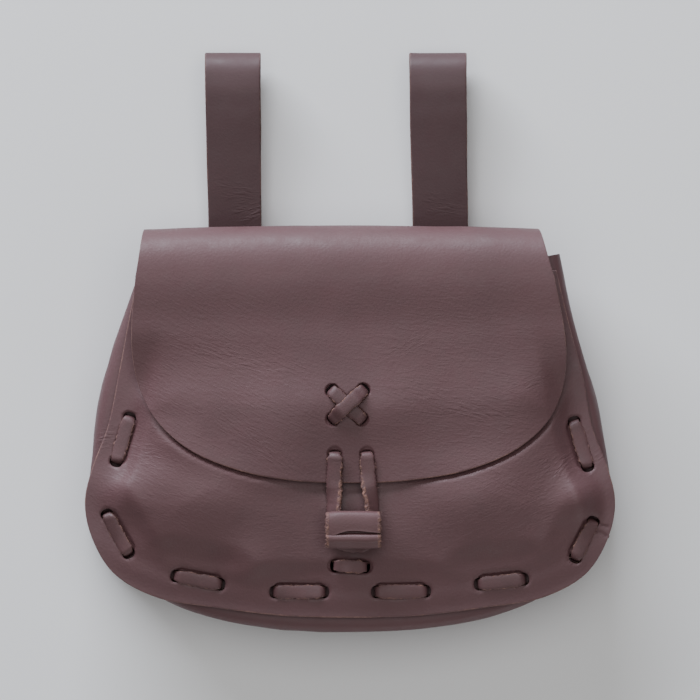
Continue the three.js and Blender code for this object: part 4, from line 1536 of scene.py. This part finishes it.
def smooth_leather(name, groups, colour, raw, roughness, patches, wear=0.6, grain=0.00006,
                   pebbles=900.0):
    """The grain side: fine pebbles, patches of creases, and cut edges that have worn lighter."""
    material, tree, shader = new_material(name)
    vector = place_of(tree)
    tone = group(tree, groups["tone"], {
        "Vector": vector, "Colour": rgba(colour), "Deep colour": darker(colour, 0.9),
        "Roughness": roughness,
    })
    worn = group(tree, groups["wear"], {
        "Vector": vector, "Edge": edge_mask(tree), "Amount": wear,
    })["Mask"]
    fibres = group(tree, groups["fibre"], {
        "Vector": vector, "Colour": rgba(raw), "Dark colour": darker(raw, 0.5), "Depth": 0.0002,
    })
    colours = blend_colours(tree, worn, tone["Colour"], fibres["Colour"])
    tree.links.new(colours, shader.inputs["Base Color"])
    rough = maths(tree, "ADD", tone["Roughness"], maths(tree, "MULTIPLY", worn, 0.3))
    tree.links.new(rough, shader.inputs["Roughness"])
    height = group(tree, groups["grain"], {
        "Vector": vector, "Pebbles per metre": pebbles, "Depth": grain,
    })["Height"]
    for x, y, z, along, across, turn, spacing, depth in patches:
        crease = group(tree, groups["crease"], {
            "Vector": vector, "Middle": (x * MM, y * MM, z * MM), "Turn": math.radians(turn),
            "Along": along * MM, "Across": across * MM, "Spacing": spacing * MM,
            "Depth": depth * MM,
        })
        height = maths(tree, "ADD", height, crease["Height"])
    height = maths(tree, "ADD", height, maths(tree, "MULTIPLY", fibres["Height"], worn))
    bump(tree, shader, height)
    return material


def flesh_leather(name, groups, colour):
    """The matt, slightly hairy back of the leather."""
    material, tree, shader = new_material(name)
    fibres = group(tree, groups["fibre"], {
        "Vector": place_of(tree), "Colour": rgba(colour), "Dark colour": darker(colour, 0.55),
        "Depth": 0.00025,
    })
    tree.links.new(fibres["Colour"], shader.inputs["Base Color"])
    bump(tree, shader, fibres["Height"])
    shader.inputs["Roughness"].default_value = 0.92
    return material


def lace_leather(name, groups, colour, raw, roughness):
    """Lace cut from the same hide: smooth on top, with raw sides."""
    material, tree, shader = new_material(name)
    vector = place_of(tree)
    tone = group(tree, groups["tone"], {
        "Vector": vector, "Colour": rgba(colour), "Deep colour": darker(colour, 0.75),
        "Roughness": roughness,
    })
    patchy = ramp(tree, noise(tree, vector, 620.0, 4.0, 0.6), 0.38, 0.6, 0.1, 1.0)
    bare = maths(tree, "MULTIPLY", ramp(tree, edge_mask(tree), 0.15, 0.9), patchy)
    fibres = group(tree, groups["fibre"], {
        "Vector": vector, "Colour": rgba(raw), "Dark colour": darker(raw, 0.4), "Depth": 0.0003,
    })
    colours = blend_colours(tree, bare, tone["Colour"], fibres["Colour"])
    tree.links.new(colours, shader.inputs["Base Color"])
    rough = maths(tree, "MULTIPLY_ADD", bare, 0.35, tone["Roughness"])
    tree.links.new(rough, shader.inputs["Roughness"])
    pebbles = group(tree, groups["grain"], {
        "Vector": vector, "Pebbles per metre": 1300.0, "Depth": 0.00005,
    })["Height"]
    bump(tree, shader, maths(tree, "MULTIPLY_ADD", fibres["Height"], bare, pebbles))
    return material


def stage_material(colour):
    material, _, shader = new_material("pale_floor")
    shader.inputs["Base Color"].default_value = rgba(colour)
    shader.inputs["Roughness"].default_value = 0.9
    shader.inputs["Specular IOR Level"].default_value = 0.2
    return material


def crease_patches(rows, height):
    """The same patches as in the mesh, for the finer lines between its ridges."""
    return [(x, y, height, along, across, turn, spacing * 0.75, deep * 2.5)
            for x, y, along, across, turn, spacing, deep in rows]


def make_finishes(looks):
    groups = {
        "grain": grain_group(), "crease": crease_group(), "tone": tone_group(),
        "wear": wear_group(), "fibre": fibre_group(),
    }
    flesh = flesh_leather("pouch_flesh_side", groups, looks.flesh)
    cut = flesh_leather("pouch_cut_edge", groups, darker(looks.raw_edge, 0.5)[:3])
    panel = smooth_leather(
        "pouch_panels", groups, looks.panel, looks.raw_edge, looks.roughness,
        crease_patches(FLAP_CREASES + FLAP_GRAIN_LINES, 46)
        + crease_patches(FRONT_CREASES + FRONT_GRAIN_LINES, 38),
    )
    strap = smooth_leather("pouch_straps", groups, looks.strap, looks.raw_edge, looks.roughness,
                           crease_patches(STRAP_CREASES, 9),
                           wear=0.4, grain=0.00003, pebbles=1100.0)
    lace = lace_leather("pouch_laces", groups, looks.lace, looks.raw_edge, looks.roughness)
    return {"panel": [panel, flesh, cut], "strap": [strap, flesh, cut], "lace": [lace]}


def finishes(context):
    """The materials, made once."""
    names = {"panel": ("pouch_panels", "pouch_flesh_side", "pouch_cut_edge"),
             "strap": ("pouch_straps", "pouch_flesh_side", "pouch_cut_edge"),
             "lace": ("pouch_laces",)}
    if "pouch_panels" not in bpy.data.materials:
        make_finishes(context.scene.pouch_looks)
    return {key: [bpy.data.materials[name] for name in row] for key, row in names.items()}


# The add-on

def length_setting(name, description, millimetres):
    return FloatProperty(name=name, description=description, default=millimetres * MM, min=0.0,
                         unit="LENGTH", subtype="DISTANCE", precision=4)


def colour_setting(name, description, colour):
    return FloatVectorProperty(name=name, description=description, default=colour, size=3,
                               min=0.0, max=1.0, subtype="COLOR")


class PouchSizes(bpy.types.PropertyGroup):
    leather: length_setting("Leather", "Thickness of the panels, the gusset and the straps",
                            LEATHER)
    lace_width: length_setting("Lace width", "Width of the lace of the seams and the straps", 5.5)
    closure_width: length_setting("Closure lace width", "Width of the lace that closes the flap",
                                  6.1)
    lace_thickness: length_setting("Lace thickness", "Thickness of every lace", 1.6)
    fibre: length_setting("Stray fibres", "Longest fibre that stands out of a raw edge", 1.1)
    mesh_step: length_setting("Mesh step", "Distance between the lines of the leather's grids", 1.0)


class PouchLooks(bpy.types.PropertyGroup):
    panel: colour_setting("Panels", "Colour of the smooth side of the panels",
                          (0.094, 0.0415, 0.0455))
    strap: colour_setting("Straps", "Colour of the smooth side of the belt loops",
                          (0.058, 0.0255, 0.0280))
    lace: colour_setting("Laces", "Colour of the smooth side of the laces",
                         (0.094, 0.0415, 0.0445))
    flesh: colour_setting("Flesh side", "Colour of the rough back of the leather",
                          (0.10, 0.052, 0.042))
    raw_edge: colour_setting("Raw edges", "Colour of cut leather and its fibres",
                             (0.285, 0.152, 0.120))
    roughness: FloatProperty(name="Roughness", description="How matt the smooth side is",
                             default=0.58, min=0.0, max=1.0, subtype="FACTOR")


class PouchStage(bpy.types.PropertyGroup):
    floor: colour_setting("Floor", "Colour of the floor", (0.78, 0.78, 0.78))
    floor_size: FloatProperty(name="Floor size", description="Side of the square floor",
                              default=40.0, min=1.0, unit="LENGTH", subtype="DISTANCE")
    frame_width: length_setting("Frame width", "Width of what the camera sees at the seams", 273.0)
    lens: FloatProperty(name="Lens", description="Focal length of the camera in millimetres",
                        default=500.0, min=20.0, subtype="DISTANCE_CAMERA")
    key: FloatProperty(name="Key light", description="Power of the light beyond the belt loops",
                       default=60.0, min=0.0, subtype="POWER")
    fill: FloatProperty(name="Low fill light", description="Power of the light below the pouch",
                        default=6.0, min=0.0, subtype="POWER")
    overhead: FloatProperty(name="Overhead light", description="Power of the light overhead",
                            default=15.5, min=0.0, subtype="POWER")
    ambient: FloatProperty(name="Surroundings", description="Strength of the light from all round",
                           default=0.19, min=0.0, subtype="FACTOR")


# The stage: the camera, and the lights round the pouch

FRAME_MIDDLE_Y = -3.12  # where the camera's middle falls on the pouch

# The lights: where each stands and how large it is in metres, and its colour
LIGHTS = {
    "key": {"at": (-0.6, 1.45, 0.6), "size": (1.5, 0.7), "colour": (0.94, 0.985, 1.09)},
    "low_fill": {"at": (0.5, -1.4, 0.45), "size": (1.4, 0.7), "colour": (1, 1, 1)},
    "overhead": {"at": (0, 0.25, 1.7), "size": (1.6, 1.6), "colour": (1, 1, 1)},
}


def area_light(name, power, target):
    light = LIGHTS[name]
    data = bpy.data.lights.new(name, "AREA")
    data.shape = "RECTANGLE"
    data.size, data.size_y = light["size"]
    data.energy = power
    data.color = light["colour"]
    lamp = bpy.data.objects.new(name, data)
    lamp.location = light["at"]
    lamp.rotation_euler = (target - Vector(light["at"])).to_track_quat("-Z", "Y").to_euler()
    bpy.context.scene.collection.objects.link(lamp)


def make_stage(settings):
    bm = bmesh.new()
    bmesh.ops.create_grid(bm, x_segments=1, y_segments=1, size=settings.floor_size / 2)
    bmesh.ops.translate(bm, verts=bm.verts, vec=(0, 0, -FLOOR_GAP * MM))
    mesh = bpy.data.meshes.new("floor")
    bm.to_mesh(mesh)
    bm.free()
    floor = bpy.data.objects.new("floor", mesh)
    mesh.materials.append(stage_material(settings.floor))
    bpy.context.scene.collection.objects.link(floor)
    floor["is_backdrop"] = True

    world = bpy.data.worlds.new("pale_surroundings")
    world.use_nodes = True
    background = world.node_tree.nodes["Background"]
    background.inputs["Color"].default_value = (1, 1, 1, 1)
    background.inputs["Strength"].default_value = settings.ambient
    bpy.context.scene.world = world

    low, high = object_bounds()
    middle = (Vector(low) + Vector(high)) / 2
    area_light("key", settings.key, middle)
    area_light("low_fill", settings.fill, middle)
    area_light("overhead", settings.overhead, middle)

    data = bpy.data.cameras.new("camera")
    data.lens = settings.lens
    data.clip_end = 200
    camera = bpy.data.objects.new("camera", data)
    away = settings.frame_width * data.lens / data.sensor_width
    camera.location = (0, FRAME_MIDDLE_Y * MM, SEAM_Z * MM + away)
    bpy.context.scene.collection.objects.link(camera)
    bpy.context.scene.camera = camera


class POUCH_OT_stage(bpy.types.Operator):
    """Adds the floor, the light and the camera"""
    bl_idname = "pouch.stage"
    bl_label = "Stage"

    def execute(self, context):
        make_stage(context.scene.pouch_stage)
        return {"FINISHED"}


class POUCH_OT_front_panel(bpy.types.Operator):
    """Adds the front panel, with the holes of its seam"""
    bl_idname = "pouch.front_panel"
    bl_label = "Front panel"

    def execute(self, context):
        make_front_panel(context.scene.pouch_sizes, finishes(context))
        return {"FINISHED"}


class POUCH_OT_back_and_flap(bpy.types.Operator):
    """Adds the back and the flap, which are one sheet folded over the crest"""
    bl_idname = "pouch.back_and_flap"
    bl_label = "Back and flap"

    def execute(self, context):
        make_back_and_flap(context.scene.pouch_sizes, finishes(context))
        return {"FINISHED"}


class POUCH_OT_gusset(bpy.types.Operator):
    """Adds the gusset round the sides and the bottom"""
    bl_idname = "pouch.gusset"
    bl_label = "Gusset"

    def execute(self, context):
        make_gusset(context.scene.pouch_sizes, finishes(context))
        return {"FINISHED"}


class POUCH_OT_seam_laces(bpy.types.Operator):
    """Adds the laces of the front and the back seam"""
    bl_idname = "pouch.seam_laces"
    bl_label = "Seam laces"

    def execute(self, context):
        make_seam_laces(context.scene.pouch_sizes, finishes(context))
        return {"FINISHED"}


class POUCH_OT_closure(bpy.types.Operator):
    """Adds the lace that crosses the flap and loops round the toggle"""
    bl_idname = "pouch.closure"
    bl_label = "Closure lace"

    def execute(self, context):
        make_closure_lace(context.scene.pouch_sizes, finishes(context))
        return {"FINISHED"}


class POUCH_OT_toggle(bpy.types.Operator):
    """Adds the rolled toggle and the lace that holds it"""
    bl_idname = "pouch.toggle"
    bl_label = "Toggle"

    def execute(self, context):
        make_toggle(context.scene.pouch_sizes, finishes(context))
        make_toggle_lace(context.scene.pouch_sizes, finishes(context))
        return {"FINISHED"}


class POUCH_OT_belt_loops(bpy.types.Operator):
    """Adds both belt loops and the short laces that hold them"""
    bl_idname = "pouch.belt_loops"
    bl_label = "Belt loops"

    def execute(self, context):
        for loop in LOOPS:
            make_belt_loop(loop, context.scene.pouch_sizes, finishes(context))
            make_loop_lace(loop, context.scene.pouch_sizes, finishes(context))
        return {"FINISHED"}


class POUCH_PT_sidebar(bpy.types.Panel):
    """Lists the steps that build the pouch, with its sizes and colours"""
    bl_idname = "POUCH_PT_sidebar"
    bl_label = "Leather pouch"
    bl_space_type = "VIEW_3D"
    bl_region_type = "UI"
    bl_category = "Pouch"

    def draw(self, context):
        layout = self.layout
        for step in STEPS:
            layout.operator(step.bl_idname)
        for settings in ("pouch_sizes", "pouch_looks", "pouch_stage"):
            box = layout.box()
            group_of_settings = getattr(context.scene, settings)
            for name in group_of_settings.bl_rna.properties.keys():
                if name not in ("rna_type", "name"):
                    box.prop(group_of_settings, name)


STEPS = (
    POUCH_OT_stage, POUCH_OT_gusset, POUCH_OT_front_panel, POUCH_OT_back_and_flap,
    POUCH_OT_seam_laces, POUCH_OT_closure, POUCH_OT_toggle, POUCH_OT_belt_loops,
)
CLASSES = (PouchSizes, PouchLooks, PouchStage, *STEPS, POUCH_PT_sidebar)


def register():
    for item in CLASSES:
        bpy.utils.register_class(item)
    bpy.types.Scene.pouch_sizes = PointerProperty(type=PouchSizes)
    bpy.types.Scene.pouch_looks = PointerProperty(type=PouchLooks)
    bpy.types.Scene.pouch_stage = PointerProperty(type=PouchStage)


def unregister():
    for name in ("pouch_sizes", "pouch_looks", "pouch_stage"):
        delattr(bpy.types.Scene, name)
    for item in reversed(CLASSES):
        bpy.utils.unregister_class(item)


def main():
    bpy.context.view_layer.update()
    register()
    for step in STEPS:
        group_name, step_name = step.bl_idname.split(".")
        getattr(getattr(bpy.ops, group_name), step_name)()


if __name__ == "__main__":
    main()
